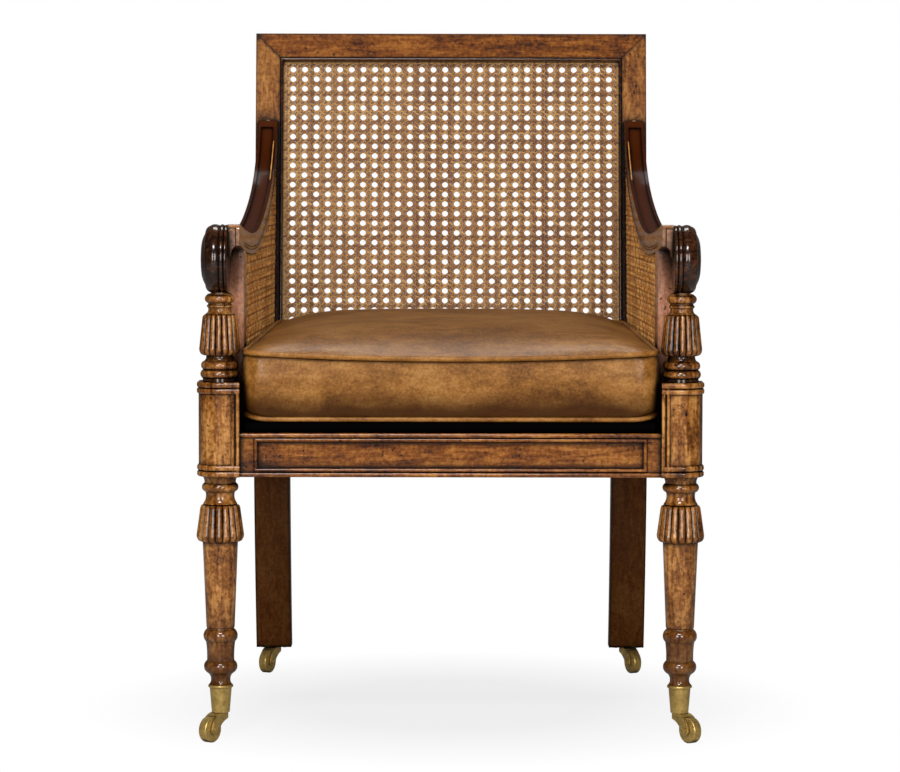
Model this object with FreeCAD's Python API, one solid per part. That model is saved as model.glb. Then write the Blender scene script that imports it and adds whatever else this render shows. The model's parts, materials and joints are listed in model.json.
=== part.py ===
import FreeCAD, Part
import math
import os

# Caned bergere chair, in millimetres. X runs across the chair, -Y is its front, Z is up from
# the floor. Pieces on one side are built at -X and mirrored for the other side.

# Overall frame
height = 918.0          # floor to the top of the crest rail
leg_x = 292.0           # centre plane to a front leg's axis
back_half = 279.0       # centre plane to a rear leg's outer face
seat_span = 540.0       # front leg axis to rear leg axis at the seat
rail_bottom = 338.0
rail_depth = 56.0
rake = 8.5              # lean of the back in degrees
side_front = 266.0      # centre plane to the inner side face at the front leg axis
side_back_inset = 30.28     # rear leg's outer face to the inner side face at the rear leg axis
snug = 0.1              # radial room round a pin, dowel or screw
ease = 0.3              # gap between curved faces that would otherwise touch

# Front leg
block_half = 26.0
block_height = 120.0
block_corner = 26.0     # radius of the block's outer front corner
bead_proud = 3.2
bead_height = 7.6
edge_bead_r = 2.4       # upright beads at the ends of the block's two show faces
reeds = 18
reed_depth = 2.6
lower_vase_r = 30.3
lower_vase_height = 46.5
upper_vase_r = 26.2
vase_taper = 0.84       # top radius of a vase over its widest radius
vase_foot = [(0.0, 5.0), (1.6, 2.2), (4.5, 0.6), (8.0, 0.0)]    # rise and inset of a vase's rounded foot
vase_head = [(3.5, 0.0), (1.2, 0.9), (0.0, 2.4)]    # drop and inset of its rounded head
foot_r = 10.9

# Turned lengths of the front leg, from the cup up: rise, end radius and bulge of each step
ankle = [(0.0, 15.0, 0), (6.0, 12.4, -0.8), (9.4, 17.2, -1.6), (15.4, 17.4, 4.0), (24.3, 18.6, -0.6),
         (15.4, 18.2, 3.4), (3.2, 18.0, -0.8)]
shaft_top_r = 22.4
capital_r = 20.2
capital = [(1.5, 21.8, 0), (15.3, 18.8, -2.0), (11.2, 20.0, 3.8), (8.8, 22.8, -1.0)]
plinth_r = 21.8
plinth = [(4.0, 21.6, 0), (11.2, 21.0, 3.4), (11.0, 19.4, 3.6), (7.0, 17.4, -0.9)]
collar_r = 16.5
collar = [(0.8, 19.0, 0), (8.2, 14.8, -2.0), (3.8, 15.0, 1.4), (2.4, 15.6, -0.6), (10.0, 15.8, 3.2),
          (1.0, 15.5, 0)]

# Arm
arm_height = 656.5
arm_joint_z = 793.0     # top end of the arm on the upright
arm_thick = 27.0
arm_width = 27.0
arm_proud = 16.0        # how far the arm's top end stands before the upright
arm_nose = 12.0         # arm's front face before the leg axis
arm_nose_r = 8.0
arm_cove_r = 17.0       # cove between the arm's underside and its roll
arm_cove_drop = 14.0
arm_flare = 10.0        # outer edge of the flared arm beyond the leg axis
arm_sweep = [(0.0, 0.0), (0.247, -0.1), (0.47, -0.08), (0.67, 0.1),
             (0.81, 0.3), (0.91, 0.53), (1.0, 1.0)]    # shares of the arm's run and rise
panel_border = 4.5
panel_sink = 2.5
scratch_drops = (17.0, 20.5)
scratch_width = 1.2
scratch_inset = 4.0
roll_r = 44.0
roll_length = 22.5      # turned part of the arm roll
roll_beads = (4.2, 5.8)     # widths of the two beads beside the arm
roll_bead_sink = 2.0
roll_dome = 11.5        # domed end of the arm roll
roll_inner = 281.0      # centre plane to the roll's inner face
roll_pin_r = 8.0
roll_pin_length = 22.0

# Rear leg, upright and back frame
rear_leg_width = 50.0
rear_leg_depth = 40.0
rear_foot_depth = 34.0
rear_foot_run = 57.0    # how far the foot stands behind the leg at the seat
rear_leg_sweep = 7.0
post_width = 34.5
post_depth = 30.0
back_rail_low = 34.0    # lower back rail above the seat rails, along the lean
back_rail_depth = 42.0
back_bead = 4.6
cane_thick = 2.4

# Seat frame
front_rail_depth = 32.0
front_rail_setback = 6.0    # rail face behind the leg block's face
side_rail_out = 28.0        # side rail's outer face beyond the inner side face
side_rail_depth = 42.0
rear_rail_depth = 28.0
tenon_thick = 10.0
tenon_inset = 7.0           # tenon shoulder above and below
tenon_length = 18.0
side_tenon_length = 14.0
field_margin = 20.0         # sunk panel of the front rail, from the rail's ends
field_sink = 4.0
rail_bead_r = 2.4
rail_edge_bead_r = 3.2
corner_leg = 62.0
corner_inset = 8.0
screw_r = 2.2
screw_head_r = 4.2
screw_head = 2.6
screw_length = 46.0

# Side panels
stile_gap = 48.0            # front leg axis to the stile's front face
stile_depth = 38.0
side_thick = 22.0
stile_tenon = 15.0
panel_rail_height = 30.0
cane_setback = 4.0          # side cane behind the inner side face

# Seat
web_thick = 2.0
web_width = 50.0
web_bite = 14.0             # width of the ledge that takes the webbing
web_clear = 1.5             # outer straps to the rear legs
webs_long = 5
webs_cross = 6
deck_thick = 13.0
deck_round = 4.0
cushion_gap = 0.4
cushion_side_gap = 2.5
cushion_edge = 84.0         # height of the boxed border
cushion_crown = 36.0
cushion_fullness = 3.5      # how early the crown rises from the border
cushion_corner = 34.0
cushion_draw = 6.0          # how far the border is drawn in at its welts
cushion_rise = 200.0        # breadth over which the crown rises
cushion_steps = 8

# Cane
cane_hole = 11.0
cane_pitch_x = 27.6
cane_pitch_z = 22.6
side_pitch = 21.0
cane_margin = 16.0

# Casters
wheel_r = 16.3
wheel_thick = 12.0
wheel_gap = 0.8
wheel_round = 2.0
axle_r = 2.0
axle_head_r = 3.6
axle_head = 1.5
run_gap = 0.08
trail = 22.0
cheek = 2.8
swivel_z = 36.4
swivel_gap = 0.4
neck_r = 7.0
stem_r = 4.0
stem_length = 12.0
cup_floor = 13.4
cup_height = 35.3
cup_foot_r = 11.4
cup_r = 14.0
cup_collar = 4.0
cup_collar_r = 16.0
plate_thick = 3.0
plate_x = 44.0
plate_y = 30.0
plate_screw_x = 15.0
plate_screw_y = 10.0
plate_screw_r = 1.8
plate_screw_head_r = 3.0
plate_screw_head = 1.0
plate_screw_length = 16.0
front_heading = -125.0
rear_heading = -115.0

# Dowels
dowel_r = 4.0
crest_dowel_length = 40.0
arm_dowel_length = 24.0
roll_dowel_length = 26.0

vec = FreeCAD.Vector
lean_sin = math.sin(math.radians(rake))
lean_cos = math.cos(math.radians(rake))
rail_top = rail_bottom + rail_depth
splay = (side_front - back_half + side_back_inset) / seat_span     # closing in of the sides per unit of depth
back_length = (height - rail_top - post_depth / 2 * lean_sin) / lean_cos
depth = roll_r + seat_span + back_length * lean_sin + post_depth / 2 * lean_cos
front_y = roll_r - depth / 2
back_y = front_y + seat_span
far = depth + height
block_top = rail_bottom + block_height
roll_z = arm_height - roll_r
cup_top = swivel_z + cup_height
rear_foot_y = back_y + rear_foot_run
rear_foot_x = rear_leg_width / 2 - back_half
post_inner = back_half - post_width
front_rail_y = front_y - block_half + front_rail_setback
front_rail_back = front_rail_y + front_rail_depth
deck_top = rail_top + deck_thick
leg_front_y = back_y - rear_leg_depth / 2
rear_rail_front = back_y - rear_rail_depth / 2
panel_rail_top = rail_top + panel_rail_height


# X of the inner side face at a given depth, moved outwards by an offset.
def side_x(y, out):
    return splay * (y - front_y) - side_front - out


# Y of the upright's front face at a given height.
def upright_front(z):
    return back_y - post_depth / 2 / lean_cos + (z - rail_top) * lean_sin / lean_cos


def bar(x0, x1, y0, y1, z0, z1):
    return Part.makeBox(x1 - x0, y1 - y0, z1 - z0, vec(x0, y0, z0))


def rod(start, end, radius):
    run = end - start
    return Part.makeCylinder(radius, run.Length, start, run)


# Plan outline of (x, y) points, raised from z0 to z1.
def slab(points, z0, z1):
    corners = [vec(x, y, z0) for x, y in points]
    face = Part.Face(Part.makePolygon(corners + corners[:1]))
    return face.extrude(vec(0, 0, z1 - z0))


# Front outline of (x, z) points, pushed back from y0 to y1.
def front_plate(points, y0, y1):
    corners = [vec(x, y0, z) for x, z in points]
    face = Part.Face(Part.makePolygon(corners + corners[:1]))
    return face.extrude(vec(0, y1 - y0, 0))


# Side outline of edges in the plane X = 0, widened from x0 to x1.
def side_plate(edges, x0, x1):
    face = Part.Face(Part.Wire(Part.__sortEdges__(edges)))
    face.translate(vec(x0, 0, 0))
    return face.extrude(vec(x1 - x0, 0, 0))


def line(a, b):
    return Part.LineSegment(a, b).toShape()


def chain(points):
    return [line(a, b) for a, b in zip(points, points[1:])]


def arc(a, middle, b):
    return Part.Arc(a, middle, b).toShape()


def mirrored(shape):
    return shape.mirror(vec(), vec(1, 0, 0))


# From the upright back frame to its place, leaning back from the top of the seat rails.
def lean(shape):
    shape.rotate(vec(), vec(1, 0, 0), -rake)
    shape.translate(vec(0, back_y, rail_top))
    return shape


def moved(shape, x, y):
    shape.translate(vec(x, y, 0))
    return shape


# Turned solid about Z. Each step is its rise, end radius and bulge: beads bulge out, coves in.
def turning(z, radius, steps):
    edges = [line(vec(0, 0, z), vec(radius, 0, z))]
    for rise, end_radius, bulge in steps:
        a = vec(radius, 0, z)
        b = vec(end_radius, 0, z + rise)
        run = b - a
        out = vec(run.z, 0, -run.x).normalize()
        edges.append(arc(a, (a + b) * 0.5 + out * bulge, b) if bulge else line(a, b))
        z = z + rise
        radius = end_radius
    edges.append(line(vec(radius, 0, z), vec(0, 0, z)))
    edges.append(line(vec(0, 0, z), edges[0].Vertexes[0].Point))
    return Part.Face(Part.Wire(edges)).revolve(vec(), vec(0, 0, 1), 360)


# Ring of round reeds with sharp valleys between them.
def rosette(z, radius):
    edges = []
    step = 2 * math.pi / reeds
    for reed in range(reeds):
        spots = []
        for share, r in ((0.0, radius - reed_depth), (0.5, radius), (1.0, radius - reed_depth)):
            angle = (reed + share) * step
            spots.append(vec(r * math.cos(angle), r * math.sin(angle), z))
        edges.append(arc(*spots))
    return Part.Wire(edges)


# Reeded vase, wider at its foot, with both ends rounded over.
def reeded_vase(z, tall, radius):
    top_r = radius * vase_taper
    rings = [rosette(z + rise, radius - inset) for rise, inset in vase_foot]
    rings += [rosette(z + tall - drop, top_r - inset) for drop, inset in vase_head]
    return Part.makeLoft(rings, True, True)


# Plan of the leg block about its axis, with the show faces grown outwards.
def block_plan(grow, z):
    inner = block_half
    outer = -block_half - grow
    radius = block_corner + grow
    centre = outer + radius
    bend = centre - radius * math.sqrt(0.5)
    edges = chain([vec(centre, outer, z), vec(inner, outer, z), vec(inner, inner, z),
                   vec(outer, inner, z), vec(outer, centre, z)])
    edges.append(arc(vec(outer, centre, z), vec(bend, bend, z), vec(centre, outer, z)))
    return Part.Face(Part.Wire(edges))


# One rounded bead round the block's show faces.
def block_bead(z):
    bead = block_plan(bead_proud, z).extrude(vec(0, 0, bead_height))
    rims = []
    for edge in bead.Edges:
        flat = abs(edge.BoundBox.ZLength) < ease
        show = min(edge.CenterOfMass.x, edge.CenterOfMass.y) < -block_half / 2
        back = edge.CenterOfMass.x > block_half - ease or edge.CenterOfMass.y > block_half - ease
        if flat and show and not back:
            rims.append(edge)
    return bead.makeFillet(bead_proud - ease, rims)


def leg_block():
    block = block_plan(0, rail_bottom).extrude(vec(0, 0, block_height))
    pieces = []
    for index in range(2):
        pieces.append(block_bead(rail_bottom + index * bead_height))
        pieces.append(block_bead(block_top - (index + 1) * bead_height))
    low = rail_bottom + bead_height
    tall = block_height - 2 * bead_height
    for place in (edge_bead_r, 3.4 * edge_bead_r):
        spot = block_half - place
        pieces.append(Part.makeCylinder(edge_bead_r, tall, vec(spot, -block_half, low)))
        pieces.append(Part.makeCylinder(edge_bead_r, tall, vec(-block_half, spot, low)))
    return block.multiFuse(pieces)


# Cylinder that the arm roll fills, for the pieces that meet it.
def roll_room(x0, x1):
    return rod(vec(x0, front_y, roll_z), vec(x1, front_y, roll_z), roll_r + ease)


# Total rise of some turned steps.
def total_rise(steps):
    return sum(step[0] for step in steps)


def front_leg():
    roll_foot = roll_z - roll_r
    lower_vase_z = rail_bottom - total_rise(capital) - lower_vase_height
    upper_vase_z = block_top + total_rise(plinth)
    upper_vase_height = roll_foot - total_rise(collar) - upper_vase_z
    shaft = [(lower_vase_z - cup_top - total_rise(ankle), shaft_top_r, 0), (lower_vase_height, capital_r, 0)]
    foot = [(cup_height - cup_floor, foot_r, 0)]
    lower = turning(swivel_z + cup_floor, foot_r, foot + ankle + shaft + capital)
    neck = [(upper_vase_height, collar_r, 0)]
    saddle = [(roll_r / 4, collar[-1][1], 0)]
    upper = turning(block_top, plinth_r, plinth + neck + collar + saddle)
    lower_vase = reeded_vase(lower_vase_z, lower_vase_height, lower_vase_r)
    upper_vase = reeded_vase(upper_vase_z, upper_vase_height, upper_vase_r)
    leg = moved(lower.multiFuse([lower_vase, leg_block(), upper, upper_vase]), -leg_x, front_y)
    pin_foot = vec(-leg_x, front_y, roll_foot - roll_pin_length)
    pin = Part.makeCylinder(roll_pin_r, 2 * roll_pin_length, pin_foot)
    return leg.cut(roll_room(-far, far)).fuse(pin).removeSplitter()


# Arm roll: two small beads, a wide roll and a domed end, turned about X.
def arm_roll():
    rim = roll_r - roll_bead_sink
    wide = roll_length - sum(roll_beads)
    roll = turning(0, rim, [
        (roll_beads[0], rim, roll_bead_sink * 0.7), (roll_beads[1], rim, roll_bead_sink),
        (wide, rim, roll_bead_sink),
        (roll_dome * 0.5, rim * 0.82, roll_bead_sink * 0.8), (roll_dome * 0.04, rim * 0.78, 0),
        (roll_dome * 0.4, rim * 0.25, roll_bead_sink), (roll_dome * 0.06, rim * 0.2, roll_bead_sink * 0.3)])
    roll.rotate(vec(), vec(0, 1, 0), -90)
    roll.translate(vec(-roll_inner, front_y, roll_z))
    foot = roll_z - roll_r
    socket = Part.makeCylinder(roll_pin_r + snug, roll_pin_length + ease, vec(-leg_x, front_y, foot))
    return roll.cut(socket)


# Points of the arm's top line, moved square to it by a drop.
def sweep_points(drop):
    run = upright_front(arm_joint_z) - arm_proud - front_y
    rise = arm_joint_z - arm_height
    points = [vec(0, front_y + along * run, arm_height + up * rise) for along, up in arm_sweep]
    top = Part.BSplineCurve()
    top.interpolate(points)
    moved_points = []
    for point in points:
        run_dir = top.tangent(top.parameter(point))[0]
        moved_points.append(point + vec(0, run_dir.z, -run_dir.y) * drop)
    return moved_points


def sweep_line(drop):
    curve = Part.BSplineCurve()
    curve.interpolate(sweep_points(drop))
    return curve.toShape()


# Strip between two drops below the arm's top line, across the whole chair.
def sweep_band(drop, lower_drop):
    a = sweep_points(drop)
    b = sweep_points(lower_drop)
    edges = [sweep_line(drop), sweep_line(lower_drop), line(a[0], b[0]), line(a[-1], b[-1])]
    return side_plate(edges, -far, far)


# All that lies above a line below the arm.
def above_arm(drop):
    ends = sweep_points(drop)
    edges = [sweep_line(drop)]
    edges += chain([ends[-1], vec(0, far, ends[-1].z), vec(0, far, far), vec(0, -far, far),
                    vec(0, -far, ends[0].z), ends[0]])
    return side_plate(edges, -far, far)


# All that lies behind the front face of the uprights.
def behind_upright(gap):
    low = rail_bottom
    edges = chain([vec(0, upright_front(low) - gap, low), vec(0, upright_front(far) - gap, far),
                   vec(0, far, far), vec(0, far, low), vec(0, upright_front(low) - gap, low)])
    return side_plate(edges, -far, far)


# Plan of the arm, drawn in by an inset on both edges.
def arm_plan(inset):
    y0 = front_y - roll_r
    y1 = back_y + rear_leg_depth * 3
    flare_x = -leg_x - arm_flare + inset
    spots = []
    for share in (0.0, 0.35, 0.6, 0.85):
        y = front_y + roll_r + share * seat_span
        base = side_x(y, arm_width - inset)
        spots.append(vec(base + (flare_x - base) * (1 - share / 0.85) ** 3, y, 0))
    outer = Part.BSplineCurve()
    outer.interpolate(spots)
    edges = [outer.toShape()]
    edges += chain([spots[-1], vec(side_x(y1, arm_width - inset), y1, 0), vec(side_x(y1, inset), y1, 0),
                    vec(side_x(y0, inset), y0, 0), vec(spots[0].x, y0, 0), spots[0]])
    return Part.Face(Part.Wire(Part.__sortEdges__(edges))).extrude(vec(0, 0, far))


# Side outline of the arm's rounded front end, from its underside round to its top.
def arm_nose_edges():
    face_y = front_y - arm_nose
    under = sweep_points(arm_thick)[0]
    bend = arm_nose_r * (1 - math.sqrt(0.5))
    start = vec(0, face_y, arm_height - arm_nose_r)
    end = vec(0, face_y + arm_nose_r, arm_height)
    rounding = arc(start, vec(0, face_y + bend, arm_height - bend), end)
    low = chain([under, vec(0, face_y, under.z), start])
    return low + [rounding, line(end, vec(0, front_y, arm_height))]


# Cove that runs from the arm's underside down the roll's inner face.
def arm_cove():
    low = arm_height - arm_thick - arm_cove_drop
    corner = bar(-roll_inner, arm_cove_r * 0.6 - roll_inner, front_y - arm_nose, front_y + arm_cove_r,
                 low, arm_height - arm_thick / 2)
    axis_x = arm_cove_r - roll_inner + panel_sink
    return corner.cut(rod(vec(axis_x, -far, low), vec(axis_x, far, low), arm_cove_r))


# Scratch line that frames the arm's front face.
def nose_scratch():
    face_y = front_y - arm_nose
    low = arm_height - arm_thick - scratch_inset
    high = arm_height - scratch_inset
    inner = side_x(face_y, scratch_inset)
    back = face_y + 2 * scratch_width
    frame = bar(-roll_inner, inner, face_y, back, low, high)
    return frame.cut(bar(-roll_inner, inner - scratch_width, face_y, back, low, high - scratch_width))


def arm():
    top = sweep_points(0)
    under = sweep_points(arm_thick)
    edges = [sweep_line(0), sweep_line(arm_thick)] + arm_nose_edges()
    edges += chain([top[-1], vec(0, far, top[-1].z), vec(0, far, under[-1].z), under[-1]])
    board = side_plate(edges, -far, 0)
    board = board.common(arm_plan(0)).fuse(arm_cove())
    panel = sweep_band(-panel_sink, panel_sink).common(arm_plan(panel_border))
    panel_front = front_y + roll_r + panel_border
    panel = panel.common(bar(-far, 0, panel_front, far, 0, arm_joint_z - panel_border * 2))
    tools = [panel, behind_upright(0), roll_room(-far, -roll_inner), nose_scratch()]
    for drop in scratch_drops:
        groove = sweep_band(drop, drop + scratch_width).cut(arm_plan(scratch_width))
        reach = bar(-side_front - scratch_width, 0, front_y + stile_gap, back_y, 0, far)
        tools.append(groove.common(reach))
    return board.cut(tools)


def rear_leg():
    half = rear_leg_depth / 2
    foot = rear_foot_depth / 2
    bend_z = rail_bottom - rail_depth / 2
    mid_z = (swivel_z + bend_z) / 2
    mid_y = (rear_foot_y + back_y) / 2 - rear_leg_sweep
    mid_half = (half + foot) / 2
    toe = vec(0, rear_foot_y - foot, swivel_z)
    heel = vec(0, rear_foot_y + foot, swivel_z)
    knee = vec(0, back_y - half, bend_z)
    hock = vec(0, back_y + half, bend_z)
    edges = [arc(toe, vec(0, mid_y - mid_half, mid_z), knee)]
    edges += [arc(heel, vec(0, mid_y + mid_half, mid_z), hock)]
    edges += chain([knee, vec(0, back_y - half, rail_top), vec(0, back_y + half, rail_top), hock])
    edges += [line(toe, heel)]
    leg = side_plate(edges, -back_half, rear_leg_width - back_half)
    sink = -post_depth / 2
    outline = [(-back_half, sink), (-post_inner, sink), (-post_inner, back_length - post_width),
               (-back_half, back_length)]
    post = lean(front_plate(outline, -post_depth / 2, post_depth / 2))
    foot_low = vec(rear_foot_x, rear_foot_y, swivel_z - stem_length)
    bore = Part.makeCylinder(stem_r + 2 * snug, 2 * stem_length + plate_thick, foot_low)
    return leg.fuse(post).removeSplitter().cut(bore)


def crest_rail():
    low = back_length - post_width
    outline = [(-back_half, back_length), (-post_inner, low), (post_inner, low), (back_half, back_length)]
    return lean(front_plate(outline, -post_depth / 2, post_depth / 2))


def back_rail():
    half = post_depth / 2 - 2
    top = back_rail_low + back_rail_depth
    rail = bar(-post_inner, post_inner, -half, half, back_rail_low, top)
    reach = post_inner + tenon_length
    low = back_rail_low + tenon_inset
    tenon = bar(-reach, reach, -tenon_thick / 2, tenon_thick / 2, low, top - tenon_inset)
    return lean(rail.fuse(tenon))


# Bead strip along one side of the back opening, mitred, with its front edges rounded.
def back_bead_strip(a, b, in_a, in_b):
    strip = front_plate([a, b, in_b, in_a], -post_depth / 2, -cane_thick)
    face_y = -post_depth / 2
    rims = [e for e in strip.Edges if e.Length > 2 * post_width and e.CenterOfMass.y < face_y + ease]
    return lean(strip.makeFillet(back_bead * 0.45, rims))


def back_beads():
    low = back_rail_low + back_rail_depth
    high = back_length - post_width
    x = post_inner
    inner = post_inner - back_bead
    outer_ring = [(-x, low), (x, low), (x, high), (-x, high)]
    low_in = low + back_bead
    high_in = high - back_bead
    inner_ring = [(-inner, low_in), (inner, low_in), (inner, high_in), (-inner, high_in)]
    strips = {}
    for index, name in enumerate(("bottom", "right", "top", "left")):
        after = (index + 1) % 4
        ends = (outer_ring[index], outer_ring[after], inner_ring[index], inner_ring[after])
        strips[name] = back_bead_strip(*ends)
    return strips


# Round hole of a cane sheet in the XZ plane.
def cane_eye(x, z):
    return Part.Wire(Part.makeCircle(cane_hole / 2, vec(x, 0, z), vec(0, 1, 0)))


# Evenly spaced places between two ends, no closer than a pitch.
def spread(low, high, pitch):
    count = int((high - low) / pitch)
    step = (high - low) / count
    return [low + step * (index + 0.5) for index in range(count)]


# Flat cane sheet in the XZ plane with a hole at each spot.
def cane_sheet(x0, x1, z0, z1, spots):
    rim = Part.makePolygon([vec(x0, 0, z0), vec(x1, 0, z0), vec(x1, 0, z1), vec(x0, 0, z1), vec(x0, 0, z0)])
    face = Part.makeFace([rim] + [cane_eye(x, z) for x, z in spots], "Part::FaceMakerBullseye")
    return face.extrude(vec(0, -cane_thick, 0))


def back_cane():
    low = back_rail_low + back_rail_depth
    high = back_length - post_width
    edge = back_bead + cane_hole / 2
    columns = spread(edge - post_inner, post_inner - edge, cane_pitch_x)
    rows = spread(low + edge, high - edge, cane_pitch_z)
    spots = [(x, z) for x in columns for z in rows]
    return lean(cane_sheet(-post_inner, post_inner, low, high, spots))


# Side cane, filling the panel between stile, lower rail, upright and arm.
def side_cane():
    y0 = front_y + stile_gap + stile_depth + ease
    y1 = upright_front(arm_joint_z)
    under = sweep_line(arm_thick).discretize(60)
    spots = []
    for y in spread(y0 + cane_margin, y1, side_pitch):
        for z in spread(panel_rail_top + cane_margin, arm_joint_z, side_pitch):
            roof = min(p.z for p in under if abs(p.y - y) < side_pitch)
            if z < roof - cane_margin and y < upright_front(z) - cane_margin:
                spots.append((y, z))
    sheet = cane_sheet(y0, y1, panel_rail_top, arm_joint_z, spots)
    sheet.rotate(vec(), vec(0, 0, 1), 90)
    sheet = sheet.cut([above_arm(arm_thick + 2 * ease), behind_upright(ease)])
    sheet.rotate(vec(0, front_y, 0), vec(0, 0, 1), -math.degrees(math.atan(splay)))
    sheet.translate(vec(side_x(front_y, cane_setback), 0, 0))
    return sheet


# Plan outline that follows the side between two depths and two offsets.
def side_outline(y0, y1, out, inward):
    return [(side_x(y0, out), y0), (side_x(y0, inward), y0), (side_x(y1, inward), y1), (side_x(y1, out), y1)]


def stile_tenon_block():
    y0 = front_y + stile_gap + tenon_inset
    y1 = y0 + stile_depth - 2 * tenon_inset
    outline = side_outline(y0, y1, side_thick - tenon_inset / 2, tenon_inset / 2)
    return slab(outline, rail_top - stile_tenon, rail_top)


def side_stile():
    y0 = front_y + stile_gap
    stile = slab(side_outline(y0, y0 + stile_depth, side_thick, 0), rail_top, arm_height)
    return stile.cut(above_arm(arm_thick + ease)).fuse(stile_tenon_block())


def panel_rail():
    y0 = front_y + stile_gap + stile_depth
    rail = slab(side_outline(y0, back_y, side_thick, 0), rail_top, panel_rail_top)
    return rail.cut(behind_upright(0))


# Ledge for the webbing: the seat's open middle, grown over the rails' inner edges.
def web_ledge():
    y0 = front_rail_back - web_bite
    y1 = rear_rail_front + web_bite
    reach = side_rail_out - side_rail_depth + web_bite
    left = [(side_x(y0, reach), y0), (side_x(y1, reach), y1)]
    right = [(-x, y) for x, y in reversed(left)]
    return slab(left + right, rail_top - 2 * web_thick, far)


def front_tenon():
    reach = leg_x - block_half + tenon_length
    y = front_y - tenon_thick / 2
    return bar(-reach, reach, y, y + tenon_thick, rail_bottom + tenon_inset, rail_top - tenon_inset)


def rear_tenon():
    reach = back_half - rear_leg_width + tenon_length
    half = tenon_thick / 2
    return bar(-reach, reach, back_y - half, back_y + half, rail_bottom + tenon_inset, rail_top - tenon_inset)


def side_tenon():
    y0 = front_y + block_half - side_tenon_length
    y1 = leg_front_y + side_tenon_length
    middle = side_rail_out - side_rail_depth / 2
    outline = side_outline(y0, y1, middle + tenon_thick / 2, middle - tenon_thick / 2)
    return slab(outline, rail_bottom + tenon_inset, rail_top - tenon_inset)


# Front rail with edge beads and a sunk field framed by a bead.
def front_rail():
    end = leg_x - block_half
    rail = bar(-end, end, front_rail_y, front_rail_back, rail_bottom, rail_top)
    field_x = end - field_margin
    low = rail_bottom + rail_edge_bead_r * 2 + rail_bead_r * 2
    high = rail_top - rail_edge_bead_r * 2 - rail_bead_r * 2
    field = bar(-field_x, field_x, front_rail_y, front_rail_y + field_sink, low, high)
    rail = rail.cut(field)
    beads = []
    for z in (rail_bottom + rail_edge_bead_r, rail_top - rail_edge_bead_r):
        beads.append(rod(vec(-end, front_rail_y, z), vec(end, front_rail_y, z), rail_edge_bead_r))
    corners = [(-field_x, low - rail_bead_r), (field_x, low - rail_bead_r),
               (field_x, high + rail_bead_r), (-field_x, high + rail_bead_r)]
    for (x, z), (next_x, next_z) in zip(corners, corners[1:] + corners[:1]):
        start = vec(x, front_rail_y, z)
        beads.append(rod(start, vec(next_x, front_rail_y, next_z), rail_bead_r))
        beads.append(Part.makeSphere(rail_bead_r, start))
    return rail.multiFuse(beads + [front_tenon()]).cut(web_ledge())


def side_rail():
    inward = side_rail_out - side_rail_depth
    outline = side_outline(front_y + block_half, leg_front_y, side_rail_out, inward)
    rail = slab(outline, rail_bottom, rail_top)
    return rail.fuse(side_tenon()).cut([web_ledge(), stile_tenon_block()])


def rear_rail():
    end = back_half - rear_leg_width
    rail = bar(-end, end, rear_rail_front, rear_rail_front + rear_rail_depth, rail_bottom, rail_top)
    return rail.fuse(rear_tenon()).cut(web_ledge())


# Inner face of the side rail at a given depth.
def rail_inner(y):
    return side_x(y, side_rail_out - side_rail_depth)


def front_corner_block():
    y0 = front_rail_back
    step = front_y + block_half
    end = block_half - leg_x
    outline = [(end, y0), (rail_inner(y0) + corner_leg, y0), (rail_inner(y0 + corner_leg), y0 + corner_leg),
               (rail_inner(step), step), (end, step)]
    return slab(outline, rail_bottom + corner_inset, rail_top - corner_inset)


def rear_corner_block():
    y1 = rear_rail_front
    end = rear_leg_width - back_half
    outline = [(rail_inner(y1 - corner_leg), y1 - corner_leg), (rail_inner(y1) + corner_leg, y1), (end, y1),
               (end, leg_front_y), (rail_inner(leg_front_y), leg_front_y)]
    return slab(outline, rail_bottom + corner_inset, rail_top - corner_inset)


# Screw from its head's face along a direction, with room round it for the hole.
def screw(place, direction, radius, head_r, head, length, room):
    shank = Part.makeCylinder(radius + room, length + room, place, direction)
    cap = Part.makeCylinder(head_r + room, head + room, place - direction * head, direction)
    return shank.fuse(cap)


# Screws of the front and rear corner blocks on one side, two in each.
def corner_screws(room):
    z = (rail_bottom + rail_top) / 2
    shapes = []
    for corner_y, toward in ((front_rail_back, 1), (rear_rail_front, -1)):
        a = vec(rail_inner(corner_y) + corner_leg, corner_y, z)
        b = vec(rail_inner(corner_y + toward * corner_leg), corner_y + toward * corner_leg, z)
        slope = (b - a).normalize()
        inward = vec(-slope.y * toward, slope.x * toward, 0)
        for share in (0.35, 0.65):
            place = a + (b - a) * share
            shapes.append(screw(place, inward, screw_r, screw_head_r, screw_head, screw_length, room))
    return shapes


# Straps of webbing along and across the seat, in two layers on the ledge.
def web_straps_long():
    z = rail_top - 2 * web_thick
    reach = back_half - rear_leg_width - web_clear - web_width / 2
    straps = []
    for index in range(webs_long):
        x = reach * (2 * index / (webs_long - 1) - 1)
        straps.append(bar(x - web_width / 2, x + web_width / 2, front_rail_back - web_bite,
                          rear_rail_front + web_bite, z, z + web_thick))
    return Part.makeCompound(straps)


def web_straps_cross():
    z = rail_top - web_thick
    straps = []
    pitch = (rear_rail_front - front_rail_back) / webs_cross - ease
    for y in spread(front_rail_back, rear_rail_front, pitch):
        end = -side_x(y + web_width / 2, side_rail_out - side_rail_depth + web_bite)
        straps.append(bar(-end, end, y - web_width / 2, y + web_width / 2, z, z + web_thick))
    return Part.makeCompound(straps)


def seat_deck():
    y0 = front_rail_y + rail_edge_bead_r
    y1 = leg_front_y
    left = [(side_x(y0, -cushion_side_gap), y0), (side_x(y1, -cushion_side_gap), y1)]
    right = [(-x, y) for x, y in reversed(left)]
    deck = slab(left + right, rail_top, deck_top)
    rims = [e for e in deck.Edges if e.CenterOfMass.z > deck_top - ease]
    return deck.makeFillet(deck_round, rims)


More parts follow.
